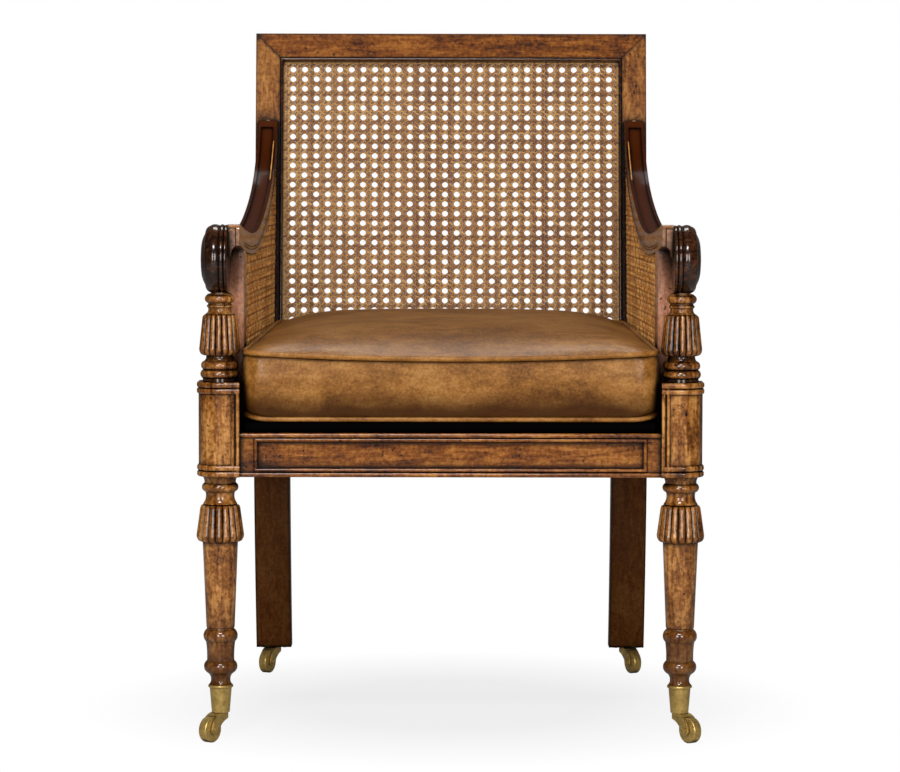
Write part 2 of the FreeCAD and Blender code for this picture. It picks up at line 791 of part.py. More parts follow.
# Rounded plan of the cushion at one height, drawn in by an inset.
def cushion_ring(z, inset):
    y0 = front_rail_y + inset
    y1 = leg_front_y - cushion_side_gap - inset
    half0 = -side_x(y0, -cushion_side_gap) - inset
    half1 = -side_x(y1, -cushion_side_gap) - inset
    r = max(cushion_corner - inset * 0.3, cushion_corner * 0.3)
    slope = (half0 - half1) / (y1 - y0)
    cut = r * (1 - math.sqrt(0.5))
    right = [vec(half0 - r, y0, z), vec(half0 - cut, y0 + cut, z), vec(half0 - slope * r, y0 + r, z),
             vec(half1 + slope * r, y1 - r, z), vec(half1 - cut, y1 - cut, z), vec(half1 - r, y1, z)]
    left = [vec(-p.x, p.y, p.z) for p in reversed(right)]
    edges = []
    for a, b, c, d, e, f in (right, left):
        edges += [arc(a, b, c), line(c, d), arc(d, e, f)]
    return Part.Wire(Part.__sortEdges__(edges + [line(right[-1], left[0]), line(left[-1], right[0])]))


# Boxed cushion: a border that swells between its welts, and a crowned top.
def seat_cushion():
    low = deck_top + cushion_gap
    rings = []
    for step in range(cushion_steps + 1):
        share = step / cushion_steps
        rings.append(cushion_ring(low + share * cushion_edge, cushion_draw * (2 * share - 1) ** 4))
    for step in range(1, cushion_steps + 1):
        share = step / cushion_steps
        lift = cushion_crown * (1 - (1 - share) ** cushion_fullness)
        rings.append(cushion_ring(low + cushion_edge + lift, cushion_draw + cushion_rise * share))
    return Part.makeLoft(rings, True, True)


# Brass cup with a collar, a socket for the leg's foot and a bore for the stem.
def caster_cup():
    steps = [(cup_height - cup_collar, cup_r, 0), (cup_collar, cup_r, cup_collar_r - cup_r)]
    cup = turning(swivel_z, cup_foot_r, steps)
    socket = Part.makeCylinder(foot_r + snug, cup_height, vec(0, 0, swivel_z + cup_floor))
    bore = Part.makeCylinder(stem_r + run_gap, cup_height, vec(0, 0, swivel_z))
    return moved(cup.cut([socket, bore]), -leg_x, front_y)


def plate_screws(room):
    shapes = []
    for x in (-plate_screw_x, plate_screw_x):
        for y in (-plate_screw_y, plate_screw_y):
            place = vec(rear_foot_x + x, rear_foot_y + y, swivel_z)
            shapes.append(screw(place, vec(0, 0, 1), plate_screw_r, plate_screw_head_r, plate_screw_head,
                                plate_screw_length, room))
    return shapes


# Rear caster plate, let into the foot, with room round its edges for the pocket.
def plate_bar(room):
    x = plate_x / 2 + room
    y = plate_y / 2 + room
    return moved(bar(-x, x, -y, y, swivel_z, swivel_z + plate_thick), rear_foot_x, rear_foot_y)


def caster_plate():
    bore = Part.makeCylinder(stem_r + run_gap, plate_thick, vec(rear_foot_x, rear_foot_y, swivel_z))
    return plate_bar(0).cut([bore] + plate_screws(snug))


# Horn of a caster about its swivel axis, trailing along +X: neck, stem and two comma-shaped cheeks.
def caster_horn():
    half = wheel_thick / 2 + wheel_gap + cheek
    top = swivel_z - swivel_gap
    low = top - neck_r
    tip = neck_r * 0.85
    wall = vec(0, -half, 0)
    heel = vec(trail + tip, 0, wheel_r + tip * 0.3)
    toe = vec(trail - tip, 0, wheel_r - tip * 0.3)
    edges = [line(vec(-neck_r, 0, top), vec(neck_r, 0, top)),
             arc(vec(neck_r, 0, top), vec(trail * 0.92, 0, top - neck_r * 0.75), heel),
             arc(heel, vec(trail + tip * 0.3, 0, wheel_r - tip), toe),
             arc(toe, vec(trail * 0.42, 0, low - neck_r * 0.9), vec(-neck_r, 0, low)),
             line(vec(-neck_r, 0, low), vec(-neck_r, 0, top))]
    face = Part.Face(Part.Wire(edges))
    face.translate(wall)
    horn = face.extrude(vec(0, 2 * half, 0))
    neck = Part.makeCylinder(half, top, vec())
    trailing = bar(0, far, -half, half, 0, top)
    horn = horn.common(neck.fuse(trailing))
    slot = wheel_thick / 2 + wheel_gap
    room = rod(vec(trail, -slot, wheel_r), vec(trail, slot, wheel_r), wheel_r + wheel_gap)
    hole = rod(vec(trail, -far, wheel_r), vec(trail, far, wheel_r), axle_r + snug)
    stem = Part.makeCylinder(stem_r, stem_length + swivel_gap, vec(0, 0, top))
    nub = Part.makeCylinder(stem_r * 0.8, neck_r * 0.5, vec(0, 0, low - neck_r * 0.5))
    return horn.cut([room, hole]).multiFuse([stem, nub.cut(room)])


def caster_axle():
    half = wheel_thick / 2 + wheel_gap + cheek
    pin = rod(vec(trail, -half, wheel_r), vec(trail, half, wheel_r), axle_r)
    heads = []
    for side in (-1, 1):
        start = vec(trail, side * half, wheel_r)
        heads.append(rod(start, start + vec(0, side * axle_head, 0), axle_head_r))
    return pin.multiFuse(heads)


def caster_wheel():
    half = wheel_thick / 2
    wheel = rod(vec(trail, -half, wheel_r), vec(trail, half, wheel_r), wheel_r)
    wheel = wheel.makeFillet(wheel_round, [e for e in wheel.Edges if e.Closed])
    return wheel.cut(rod(vec(trail, -far, wheel_r), vec(trail, far, wheel_r), axle_r + run_gap))


def placed(shape, x, y, heading):
    shape.rotate(vec(), vec(0, 0, 1), heading)
    return moved(shape, x, y)


# Dowels across the mitres of the crest, along their slope.
def crest_dowels(room):
    middle = vec(-(back_half + post_inner) / 2, 0, back_length - post_width / 2)
    run = vec(1, 0, 1).normalize() * (crest_dowel_length / 2 + room)
    return lean(rod(middle - run, middle + run, dowel_r + room))


# Dowels that pin an arm's end to its upright, square to the upright's face.
def arm_dowels(room):
    shapes = []
    for share in (0.3, 0.7):
        low = sweep_points(arm_thick)[-1].z
        z = low + (arm_joint_z - low) * share
        y = upright_front(z)
        run = vec(0, lean_cos, -lean_sin) * (arm_dowel_length / 2 + room)
        middle = vec(side_x(y, arm_width / 2), y, z)
        shapes.append(rod(middle - run * 0.8, middle + run, dowel_r * 0.8 + room))
    return shapes


# Dowel between an arm and its roll.
def roll_dowel(room):
    spot = vec(-roll_inner, front_y, arm_height - arm_thick / 2)
    run = vec(roll_dowel_length / 2 + room, 0, 0)
    return rod(spot - run, spot + run, dowel_r + room)


def both_sides(shapes):
    return Part.makeCompound(shapes + [mirrored(shape) for shape in shapes])


os.makedirs("parts", exist_ok=True)
nodes = {}

# Pieces that come in pairs
pairs = {}
pairs["front_leg"] = front_leg().cut([front_tenon(), side_tenon()])
pairs["rear_leg"] = rear_leg().cut([rear_tenon(), side_tenon(), back_rail(), crest_dowels(snug)]
                                   + arm_dowels(snug) + plate_screws(snug) + [plate_bar(snug)])
pairs["arm"] = arm().cut([roll_dowel(snug)] + arm_dowels(snug))
pairs["arm_roll"] = arm_roll().cut(roll_dowel(snug))
pairs["side_stile"] = side_stile()
pairs["side_panel_rail"] = panel_rail()
pairs["side_cane"] = side_cane()
pairs["side_rail"] = side_rail().cut(corner_screws(snug))
pairs["front_corner_block"] = front_corner_block().cut(corner_screws(snug))
pairs["rear_corner_block"] = rear_corner_block().cut(corner_screws(snug))
pairs["front_caster_cup"] = caster_cup()
pairs["rear_caster_plate"] = caster_plate()
caster_places = (("front", -leg_x, front_y, front_heading), ("rear", rear_foot_x, rear_foot_y, rear_heading))
for place, x, y, heading in caster_places:
    pairs[place + "_caster_horn"] = placed(caster_horn(), x, y, heading)
    pairs[place + "_caster_axle"] = placed(caster_axle(), x, y, heading)
    pairs[place + "_caster_wheel"] = placed(caster_wheel(), x, y, heading)
for name, shape in pairs.items():
    nodes[name + "_left"] = shape
    nodes[name + "_right"] = mirrored(shape)

# Single pieces
crest_holes = both_sides([crest_dowels(snug)])
frame_screws = both_sides(corner_screws(snug))
nodes["crest_rail"] = crest_rail().cut(crest_holes)
nodes["back_rail"] = back_rail()
for name, strip in back_beads().items():
    nodes["back_bead_" + name] = strip
nodes["back_cane"] = back_cane()
nodes["front_rail"] = front_rail().cut(frame_screws)
nodes["rear_rail"] = rear_rail().cut(frame_screws)
nodes["webbing_long"] = web_straps_long()
nodes["webbing_cross"] = web_straps_cross()
nodes["seat_deck"] = seat_deck()
nodes["seat_cushion"] = seat_cushion()
nodes["corner_screws"] = both_sides(corner_screws(0))
nodes["plate_screws"] = both_sides(plate_screws(0))
nodes["crest_dowels"] = both_sides([crest_dowels(0)])
nodes["arm_dowels"] = both_sides(arm_dowels(0))
nodes["roll_dowels"] = both_sides([roll_dowel(0)])

for name, shape in nodes.items():
    shape.exportStep("parts/" + name + ".step")
    print(name, len(shape.Solids), round(shape.Volume))
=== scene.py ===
import json
import math

import bmesh
import bpy
from mathutils import Matrix, Vector, kdtree


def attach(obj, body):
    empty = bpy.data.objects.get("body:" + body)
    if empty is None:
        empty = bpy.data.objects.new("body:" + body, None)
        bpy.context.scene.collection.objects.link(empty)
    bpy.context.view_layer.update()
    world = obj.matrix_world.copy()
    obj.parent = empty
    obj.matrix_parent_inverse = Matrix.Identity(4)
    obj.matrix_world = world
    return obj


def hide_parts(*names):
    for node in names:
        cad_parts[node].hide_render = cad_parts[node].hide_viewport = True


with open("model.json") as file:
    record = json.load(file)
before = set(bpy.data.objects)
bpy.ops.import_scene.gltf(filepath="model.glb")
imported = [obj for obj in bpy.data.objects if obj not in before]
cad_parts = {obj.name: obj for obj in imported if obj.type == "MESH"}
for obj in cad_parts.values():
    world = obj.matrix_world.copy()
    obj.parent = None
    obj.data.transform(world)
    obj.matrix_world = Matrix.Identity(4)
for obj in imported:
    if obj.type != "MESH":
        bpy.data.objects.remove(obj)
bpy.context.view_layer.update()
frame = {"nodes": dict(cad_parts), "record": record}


# a socket that takes Python maths, one Math node for each operator
class Wire:
    def __init__(self, graph, socket):
        self.graph = graph
        self.socket = socket

    def maths(self, operation, first, second=None):
        return self.graph.node("ShaderNodeMath", {"operation": operation}, {0: first, 1: second})

    def __add__(self, other):
        return self.maths("ADD", self, other)

    def __radd__(self, other):
        return self.maths("ADD", other, self)

    def __sub__(self, other):
        return self.maths("SUBTRACT", self, other)

    def __rsub__(self, other):
        return self.maths("SUBTRACT", other, self)

    def __mul__(self, other):
        return self.maths("MULTIPLY", self, other)

    def __rmul__(self, other):
        return self.maths("MULTIPLY", other, self)

    def __truediv__(self, other):
        return self.maths("DIVIDE", self, other)

    def __rtruediv__(self, other):
        return self.maths("DIVIDE", other, self)

    def __pow__(self, other):
        return self.maths("POWER", self, other)

    def __gt__(self, other):
        return self.maths("GREATER_THAN", self, other)

    def __lt__(self, other):
        return self.maths("LESS_THAN", self, other)

    def of(self, operation, other=None):    # SINE, ROUND, SIGN and the rest
        return self.maths(operation, self, other)


# a node tree, shader or geometry, with one way to add a node
class Graph:
    def __init__(self, tree):
        self.tree = tree

    def node(self, kind, settings=None, sockets=None, out=0):
        made = self.tree.nodes.new(kind)
        for key, value in (settings or {}).items():
            if key == "stops":
                stops = made.color_ramp.elements
                while len(stops) < len(value):
                    stops.new(0.5)
                for stop, (place, colour) in zip(stops, value):
                    stop.position = place
                    stop.color = (*colour, 1)
            elif key == "points":
                curve = made.mapping.curves[0]
                while len(curve.points) < len(value):
                    curve.points.new(0.5, 0.5)
                for point, place in zip(curve.points, value):
                    point.location = place
                made.mapping.update()
            else:
                setattr(made, key, value)
        for key, value in (sockets or {}).items():
            if isinstance(value, Wire):
                self.tree.links.new(value.socket, made.inputs[key])
            elif value is not None:
                made.inputs[key].default_value = value
        return Wire(self, made.outputs[out]) if made.outputs else None

    def noise(self, spot, scale, detail=4.0, roughness=0.55, distortion=0.0):
        return self.node("ShaderNodeTexNoise", None, {"Vector": spot, "Scale": scale, "Detail": detail,
                                                      "Roughness": roughness, "Distortion": distortion})

    def ramp(self, value, low, high):    # 0 to 1 between two values, clamped
        return self.node("ShaderNodeMapRange", {"clamp": True}, {0: value, 1: low, 2: high, 3: 0.0, 4: 1.0})

    def colours(self, value, stops):
        return self.node("ShaderNodeValToRGB", {"stops": stops}, {0: value})

    def mix(self, share, first, second, how="MIX"):
        pair = [c if isinstance(c, Wire) else (*c, 1) for c in (first, second)]
        return self.node("ShaderNodeMix", {"data_type": "RGBA", "blend_type": how},
                         {0: share, 6: pair[0], 7: pair[1]}, 2)

    def hollow(self, distance):    # 1 in the open, 0 deep in a crevice
        return self.node("ShaderNodeAmbientOcclusion", {"samples": 8}, {"Distance": distance}, "AO")

    def edge(self, distance):    # 1 on a sharp outer edge
        return 1 - self.node("ShaderNodeAmbientOcclusion", {"samples": 8, "inside": True},
                             {"Distance": distance}, "AO")

    def xyz(self, vector):
        split = self.node("ShaderNodeSeparateXYZ", None, {0: vector}).socket.node
        return [Wire(self, socket) for socket in split.outputs]

    def bump(self, height, strength, distance):
        return self.node("ShaderNodeBump", None,
                         {"Strength": strength, "Distance": distance, "Height": height})

    def surface(self, sockets):
        shader = self.node("ShaderNodeBsdfPrincipled", None, sockets)
        self.node("ShaderNodeOutputMaterial", None, {"Surface": shader})


def newFinish(name):
    material = bpy.data.materials.new(name)
    material.use_nodes = True
    material.node_tree.nodes.clear()
    return material, Graph(material.node_tree)


# walnut: stained tones from dark to light, near black along old edges and in waxed dents, and in the
# crevices, with dark wax and painted shade
woodLooks = {
    "Turned": {"grain": "z", "rim": 0.0,
               "tones": [(0.03, 0.007, 0.0008), (0.23, 0.078, 0.012), (0.52, 0.24, 0.065)]},
    "Front": {"grain": "x", "rim": 0.0,
              "tones": [(0.045, 0.01, 0.0012), (0.2, 0.058, 0.006), (0.4, 0.155, 0.026)]},
    "Post": {"grain": "z", "rim": 0.9,
             "tones": [(0.075, 0.019, 0.0025), (0.28, 0.1, 0.018), (0.47, 0.21, 0.055)]},
    "Leg": {"grain": "z", "rim": 0.9,
            "tones": [(0.07, 0.018, 0.0025), (0.26, 0.092, 0.016), (0.45, 0.2, 0.05)]},
    # lighter tones, painted light for the stiles, which take little lamp light
    "Stile": {"grain": "z", "rim": 0.3,
              "tones": [(0.2, 0.07, 0.03), (0.4, 0.165, 0.09), (0.56, 0.27, 0.16)]},
    "Rail": {"grain": "x", "rim": 0.9,
             "tones": [(0.045, 0.01, 0.001), (0.19, 0.052, 0.004), (0.36, 0.13, 0.018)]},
    # lighter tones, painted light for the arms' inward faces, which take little lamp light
    "Arm": {"grain": "y", "rim": 0.4,
            "tones": [(0.12, 0.036, 0.008), (0.37, 0.15, 0.055), (0.58, 0.28, 0.125)]},
    # Dark: a dark glaze on the roll that is partly painted shade there, and painted shade on the back's side
    # beads along the uprights
    "Dark": {"grain": "x", "rim": 0.0,
             "tones": [(0.003, 0.001, 0.0005), (0.022, 0.0065, 0.0018), (0.075, 0.024, 0.006)]},
}
woodLook = {"crevice": (0.0014, 0.0006, 0.0003), "armTop": (0.062, 0.0125, 0.0018),
            "wide": 0.03, "tight": 0.007, "edge": 0.006, "armPanel": -0.2498,
            "roughness": 0.45, "coat": 0.9, "coatRough": 0.15,
            # the stain colour is a dark stain on the front legs' feet, and painted shadow on the rear legs
            # below the seat and beside the cane
            "darkStainAndShadow": (0.045, 0.011, 0.001), "seatShadow": (0.36, 0.3), "armJoint": (0.79, 0.74)}


def walnut(kind):
    look, tones = woodLook, woodLooks[kind]["tones"]
    material, g = newFinish("walnut" + kind)
    spot = g.node("ShaderNodeTexCoord", None, None, "Object")
    stretch = [0.14 if axis == woodLooks[kind]["grain"] else 1.0 for axis in "xyz"]
    fibre = g.node("ShaderNodeVectorMath", {"operation": "MULTIPLY"}, {0: spot, 1: stretch})
    clouds = g.noise(spot, 14, 4, 0.6)
    streaks = g.noise(fibre, 110, 4, 0.62, 0.9)
    crackle = g.noise(spot, 190, 3, 0.65)
    pores = g.noise(fibre, 700, 2, 0.5)
    tone = g.ramp(streaks * 0.4 + crackle * 0.3 + clouds * 0.3, 0.4, 0.6)
    wood = g.colours(tone, [(0.0, tones[0]), (0.5, tones[1]), (1.0, tones[2])])
    wood = g.mix(g.ramp(pores, 0.62, 0.72) * 0.6, wood, tones[0])
    specks = g.ramp(g.noise(spot, 170, 2, 0.5), 0.66, 0.72)    # old dents, filled with dark wax
    wood = g.mix(specks * 0.8, wood, look["crevice"])
    nx, ny, nz = g.xyz(g.node("ShaderNodeNewGeometry", None, None, "Normal"))
    px, py, pz = g.xyz(spot)
    coat = look["coat"]
    if kind == "Arm":    # sunk panel along the arm's top
        panel = g.ramp(nx.of("ABSOLUTE"), 0.6, 0.35) * g.ramp(py, look["armPanel"], look["armPanel"] + 0.006)
        wood = g.mix(panel, wood, look["armTop"])
        coat = coat * (1 - panel * 0.85)
    if kind == "Turned":    # worn dark towards the foot
        foot = g.ramp(pz + 0.08 * (clouds - 0.5), 0.2, 0.11)
        wood = g.mix(foot * 0.7, wood, look["darkStainAndShadow"])
    if kind == "Leg":    # painted shadow below the seat, and a painted shadow line on the front face beside the cane up to the arm
        paintedSeatShadow = g.ramp(pz, *look["seatShadow"]) * 0.72
        paintedShadowLine = g.ramp(pz, *look["armJoint"]) * (ny < -0.5) * 0.85
        wood = g.mix(paintedSeatShadow.of("MAXIMUM", paintedShadowLine), wood, look["darkStainAndShadow"])
        coat = coat * (1 - paintedSeatShadow)
    rim = g.ramp(g.edge(look["edge"]) + 0.5 * clouds, 0.46, 0.8) * woodLooks[kind]["rim"]
    wood = g.mix(rim, wood, look["crevice"])
    # painted shade: the wood goes near black in hollows and tight gaps, over the dark wax there
    shade = g.ramp(g.hollow(look["wide"]), 0.42, 0.98) * g.ramp(g.hollow(look["tight"]), 0.58, 0.97)
    wood = g.mix(shade, look["crevice"], wood)
    g.surface({
        "Base Color": wood, "Roughness": look["roughness"] + 0.2 * crackle,
        "Coat Weight": coat * (0.45 + 0.55 * shade),
        "Coat Roughness": look["coatRough"], "Specular IOR Level": 0.02,
        "Normal": g.bump(crackle * 0.5 + streaks * 0.5 - specks, 0.25, 0.0006)})
    return material


beechLook = {"pale": (0.42, 0.26, 0.13), "deep": (0.25, 0.135, 0.06)}


def beech():
    material, g = newFinish("rawBeech")
    spot = g.node("ShaderNodeTexCoord", None, None, "Object")
    fibre = g.node("ShaderNodeVectorMath", {"operation": "MULTIPLY"}, {0: spot, 1: (0.1, 1.0, 1.0)})
    lines = g.noise(fibre, 90, 6, 0.6, 0.5)
    rays = g.ramp(g.noise(fibre, 600, 2, 0.5), 0.6, 0.72)
    wood = g.colours(lines, [(0.3, beechLook["deep"]), (0.7, beechLook["pale"])])
    wood = g.mix(rays * 0.5, wood, beechLook["deep"])
    # painted shade in the hollows
    shade = g.ramp(g.hollow(0.01), 0.2, 0.9)
    wood = g.mix(shade, (0.05, 0.025, 0.01), wood)
    g.surface({"Base Color": wood, "Roughness": 0.62 + 0.15 * lines, "Normal": g.bump(lines, 0.15, 0.0005)})
    return material


# metal
brassLook = {"bright": (0.62, 0.42, 0.13), "dull": (0.36, 0.23, 0.06), "dirt": (0.022, 0.014, 0.005)}


def brass():
    material, g = newFinish("agedBrass")
    spot = g.node("ShaderNodeTexCoord", None, None, "Object")
    patches = g.noise(spot, 60, 5, 0.6)
    grime = g.noise(spot, 240, 4, 0.65)
    metal = g.colours(g.ramp(patches * 0.7 + grime * 0.3, 0.36, 0.62),
                      [(0.0, brassLook["dull"]), (1.0, brassLook["bright"])])
    shade = g.ramp(g.hollow(0.008), 0.2, 0.85)
    metal = g.mix(shade, brassLook["dirt"], metal)
    g.surface({"Base Color": metal, "Metallic": 0.3 + 0.4 * shade,
               "Roughness": 0.28 + 0.22 * grime + 0.2 * (1 - shade), "Normal": g.bump(grime, 0.12, 0.0003)})
    return material


def steel():
    material, g = newFinish("plainSteel")
    spot = g.node("ShaderNodeTexCoord", None, None, "Object")
    grime = g.noise(spot, 300, 4, 0.6)
    metal = g.colours(grime, [(0.3, (0.18, 0.17, 0.16)), (0.7, (0.5, 0.49, 0.48))])
    g.surface({"Base Color": metal, "Metallic": 1.0, "Roughness": 0.3 + 0.25 * grime})
    return material


# cane, leather and cloth
# the stain colour is painted shade in the hollows and the chinks between strands
caneColour = {"deep": (0.15, 0.048, 0.009), "mid": (0.36, 0.15, 0.034), "pale": (0.56, 0.3, 0.09),
              "gapShade": (0.03, 0.009, 0.002)}


def cane(name, gain):
    look = {key: [c * gain for c in colour] for key, colour in caneColour.items()}
    material, g = newFinish(name)
    spot = g.node("ShaderNodeTexCoord", None, None, "Object")
    tone = g.node("ShaderNodeAttribute", {"attribute_name": "tone"}, None, "Fac")
    patches = g.noise(spot, 60, 4, 0.6)
    fibre = g.noise(spot, 700, 3, 0.6)
    rattan = g.colours(g.ramp(tone * 0.4 + patches * 0.4 + fibre * 0.2, 0.28, 0.68),
                       [(0.0, look["deep"]), (0.5, look["mid"]), (1.0, look["pale"])])
    across, along = g.xyz(g.node("ShaderNodeAttribute", {"attribute_name": "cell"}, None, "Vector"))[:2]
    across, along = [(c - c.of("ROUND")).of("ABSOLUTE") for c in (across, along)]
    gapA = (across / 0.1) ** 2 + ((along - 0.27) / 0.12) ** 2    # small chinks between the strands of a pair
    gapB = ((across - 0.27) / 0.12) ** 2 + (along / 0.1) ** 2
    # painted shadow in the chinks and painted shade in the hollows, in the gap shade colour
    chinkShadows = 1 - g.ramp(gapA.of("MINIMUM", gapB), 0.35, 1.3)
    shade = g.ramp(g.hollow(0.003), 0.32, 0.92) * (1 - 0.95 * chinkShadows)
    rattan = g.mix(shade, look["gapShade"], rattan)
    g.surface({"Base Color": rattan, "Roughness": 0.42 + 0.2 * fibre, "Coat Weight": 0.1,
               "Specular IOR Level": 0.25, "Normal": g.bump(fibre, 0.1, 0.0002)})
    return material


# the foot colour is painted shade low on the border, where it turns under
leatherLook = {"deep": (0.1, 0.034, 0.0042), "mid": (0.235, 0.094, 0.0165), "pale": (0.37, 0.175, 0.046),
               "seam": (0.016, 0.005, 0.001), "foot": (0.04, 0.012, 0.0012)}


def leather(name, gain):
    look = {key: [c * gain for c in colour] for key, colour in leatherLook.items()}
    material, g = newFinish(name)
    spot = g.node("ShaderNodeTexCoord", None, None, "Object")
    wide = g.node("ShaderNodeVectorMath", {"operation": "MULTIPLY"}, {0: spot, 1: (0.45, 1.0, 1.0)})
    clouds = g.noise(spot, 10, 5, 0.6, 0.5)
    mottle = g.noise(wide, 85, 5, 0.68, 0.3)
    fine = g.noise(spot, 300, 3, 0.7)
    tone = g.ramp(clouds * 0.36 + mottle * 0.34 + fine * 0.3, 0.39, 0.61)
    hide = g.colours(tone, [(0.0, look["deep"]), (0.5, look["mid"]), (1.0, look["pale"])])
    veins = g.noise(spot, 21, 3, 0.5, 1.6)
    crease = 1 - g.ramp((veins - 0.5).of("ABSOLUTE"), 0.0, 0.012)    # thin wandering lines
    hide = g.mix(crease * 0.25, hide, look["deep"])
    pz = g.xyz(spot)[2]
    # painted shade: darker towards the bottom of the border, where it turns under
    foot = g.ramp(pz + 0.03 * (clouds - 0.5), 0.45, 0.423) * g.ramp(pz, 0.4125, 0.4155)
    hide = g.mix(foot * 0.9, hide, look["foot"])
    # painted shade in the hollows, darkest just above the welts
    shade = g.ramp(g.hollow(0.014), 0.35, 0.88)
    hide = g.mix(shade, look["seam"], hide)
    pebble = g.node("ShaderNodeTexVoronoi", {"feature": "DISTANCE_TO_EDGE"},
                    {"Vector": spot, "Scale": 620.0}, "Distance")
    grain = g.ramp(pebble, 0.0, 0.14)
    g.surface({"Base Color": hide, "Roughness": 0.38 + 0.16 * mottle, "Coat Weight": 0.16,
               "Coat Roughness": 0.22, "Specular IOR Level": 0.08,
               "Normal": g.bump(grain * 0.4 + mottle * 0.7 + fine * 0.4 - crease * 0.5, 0.2, 0.0007)})
    return material


def weave(name, pale, deep, pitch):
    material, g = newFinish(name)
    spot = g.node("ShaderNodeTexCoord", None, None, "Object")
    across, along = g.xyz(spot)[:2]
    turn = 2 * math.pi / pitch
    warp = (across * turn).of("SINE")
    weft = (along * turn).of("SINE")
    threads = (warp * weft) * 0.5 + 0.5
    fuzz = g.noise(spot, 700, 4, 0.6)
    patches = g.noise(spot, 26, 4, 0.6)
    cloth = g.mix(g.ramp(threads * 0.5 + fuzz * 0.3 + patches * 0.2, 0.25, 0.75), deep, pale)
    # painted shade in the hollows
    shade = g.ramp(g.hollow(0.01), 0.2, 0.9)
    cloth = g.mix(shade, [c * 0.2 for c in deep], cloth)
    g.surface({"Base Color": cloth, "Roughness": 0.88 + 0.1 * fuzz, "Specular IOR Level": 0.0,
               "Normal": g.bump(threads + fuzz * 0.4, 0.5, 0.0006)})
    return material


finishes = {
    **{kind: walnut(kind) for kind in woodLooks},
    "beech": beech(), "brass": brass(), "steel": steel(),
    # sideCane is the cane made 1.8 times lighter, painted light for side panels that the lamps reach little
    "cane": cane("wovenCane", 1.0), "sideCane": cane("sideCane", 1.8),
    # weltLeather is the leather made 1.15 times lighter, a painted highlight on the welt cords
    "leather": leather("waxedLeather", 1.0), "weltLeather": leather("weltLeather", 1.15),
    "deckCloth": weave("deckCloth", (0.0022, 0.0018, 0.0018), (0.0009, 0.0007, 0.0007), 0.0016),
    "jute": weave("juteWebbing", (0.36, 0.25, 0.13), (0.15, 0.095, 0.045), 0.004),
}
print("finishes:", len(finishes))

# CAD pieces keep their shape and take a finish, grain along each one
walnutPieces = {"Turned": ("front_leg",), "Arm": ("arm_left", "arm_right", "side_rail", "side_panel_rail"),
                "Leg": ("rear_leg",), "Stile": ("side_stile",), "Front": ("front_rail", "rear_rail"),
                "Rail": ("crest_rail", "back_rail", "back_bead_bottom", "back_bead_top"),
                # the Dark finish is partly painted shade on the roll, and painted shade on the back's side
                # beads
                "Dark": ("arm_roll", "back_bead_left", "back_bead_right")}
for name, part in frame["nodes"].items():
    slotOf = next(s["material_slot"] for s in frame["record"]["subparts"] if s["node"] == name)
    finish = {"deck_cloth": "deckCloth", "walnut": "Post"}.get(slotOf, slotOf)
    if slotOf == "walnut":
        finish = next((kind for kind, starts in walnutPieces.items() if name.startswith(starts)), finish)
    part.data.materials.clear()
    part.data.materials.append(finishes[finish])
print("finishes on the frame")


# geometry nodes
def newTree(name, inputs):
    tree = bpy.data.node_groups.new(name, "GeometryNodeTree")
    tree.interface.new_socket(name="Geometry", in_out="OUTPUT", socket_type="NodeSocketGeometry")
    for label, kind in inputs:
        tree.interface.new_socket(name=label, in_out="INPUT", socket_type="NodeSocket" + kind)
    g = Graph(tree)
    given = tree.nodes.new("NodeGroupInput")
    return g, {label: Wire(g, given.outputs[label]) for label, kind in inputs}


def endTree(g, geometry, material):
    whole = g.node("GeometryNodeRealizeInstances", None, {"Geometry": geometry})
    dressed = g.node("GeometryNodeSetMaterial", None, {"Geometry": whole, "Material": material})
    g.node("NodeGroupOutput", None, {0: dressed})


# runs a tree with its inputs and leaves a plain mesh, put in place by a matrix
def fromTree(name, g, values, place, base=None):
    shell = bpy.data.objects.new(name + "Shell", base or bpy.data.meshes.new(name + "Shell"))
    bpy.context.collection.objects.link(shell)
    modifier = shell.modifiers.new("nodes", "NODES")
    modifier.node_group = g.tree
    sockets = {item.name: item.identifier for item in g.tree.interface.items_tree if item.in_out == "INPUT"}
    for label, value in values.items():
        modifier[sockets[label]] = value
    reading = bpy.context.evaluated_depsgraph_get()
    mesh = bpy.data.meshes.new_from_object(shell.evaluated_get(reading), depsgraph=reading)
    mesh.name = name
    mesh.transform(place)
    if place.determinant() < 0:
        mesh.flip_normals()
    mesh.shade_smooth()
    bpy.data.objects.remove(shell)
    made = bpy.data.objects.new(name, mesh)
    bpy.context.collection.objects.link(made)
    return made


# the part of a woven field that is kept: a box, a leaning right edge and, if roofed, a curve over it
fieldInputs = [(label, "Float") for label in ("Left", "LeftLean", "Right", "Lean", "Low", "High", "Roofed")]
strandInputs = [("Width", "Float"), ("Thick", "Float"), ("Lift", "Float"), ("Seed", "Int"),
                ("Material", "Material")]

# underside of the arm over the side cane: depth from the front leg, height from the floor
roofLook = {"deep": (0.07, 0.61), "tall": (0.60, 0.80),
            "line": [(0.07, 0.6357), (0.12, 0.6318), (0.20, 0.629), (0.28, 0.6348), (0.36, 0.6513),
                     (0.44, 0.6757), (0.50, 0.7014), (0.54, 0.7316), (0.565, 0.7628),
                     (0.585, 0.79), (0.61, 0.80)]}
sideOrigin = (0.33, 0.53)    # a crossing of the side cane: depth from the front leg, height


def outsideField(g, given, u, v):
    deep, tall = roofLook["deep"], roofLook["tall"]
    points = [((d - deep[0]) / (deep[1] - deep[0]), (h - tall[0]) / (tall[1] - tall[0]))
              for d, h in roofLook["line"]]
    share = g.ramp(u + sideOrigin[0], deep[0], deep[1])
    curve = g.node("ShaderNodeFloatCurve", {"points": points}, {"Value": share})
    roof = curve * (tall[1] - tall[0]) + (tall[0] - sideOrigin[1])
    above = (v > roof) * given["Roofed"]
    aside = (u < (given["Left"] + given["LeftLean"] * v)) + (u > (given["Right"] + given["Lean"] * v))
    return aside + (v < given["Low"]) + (v > given["High"]) + above


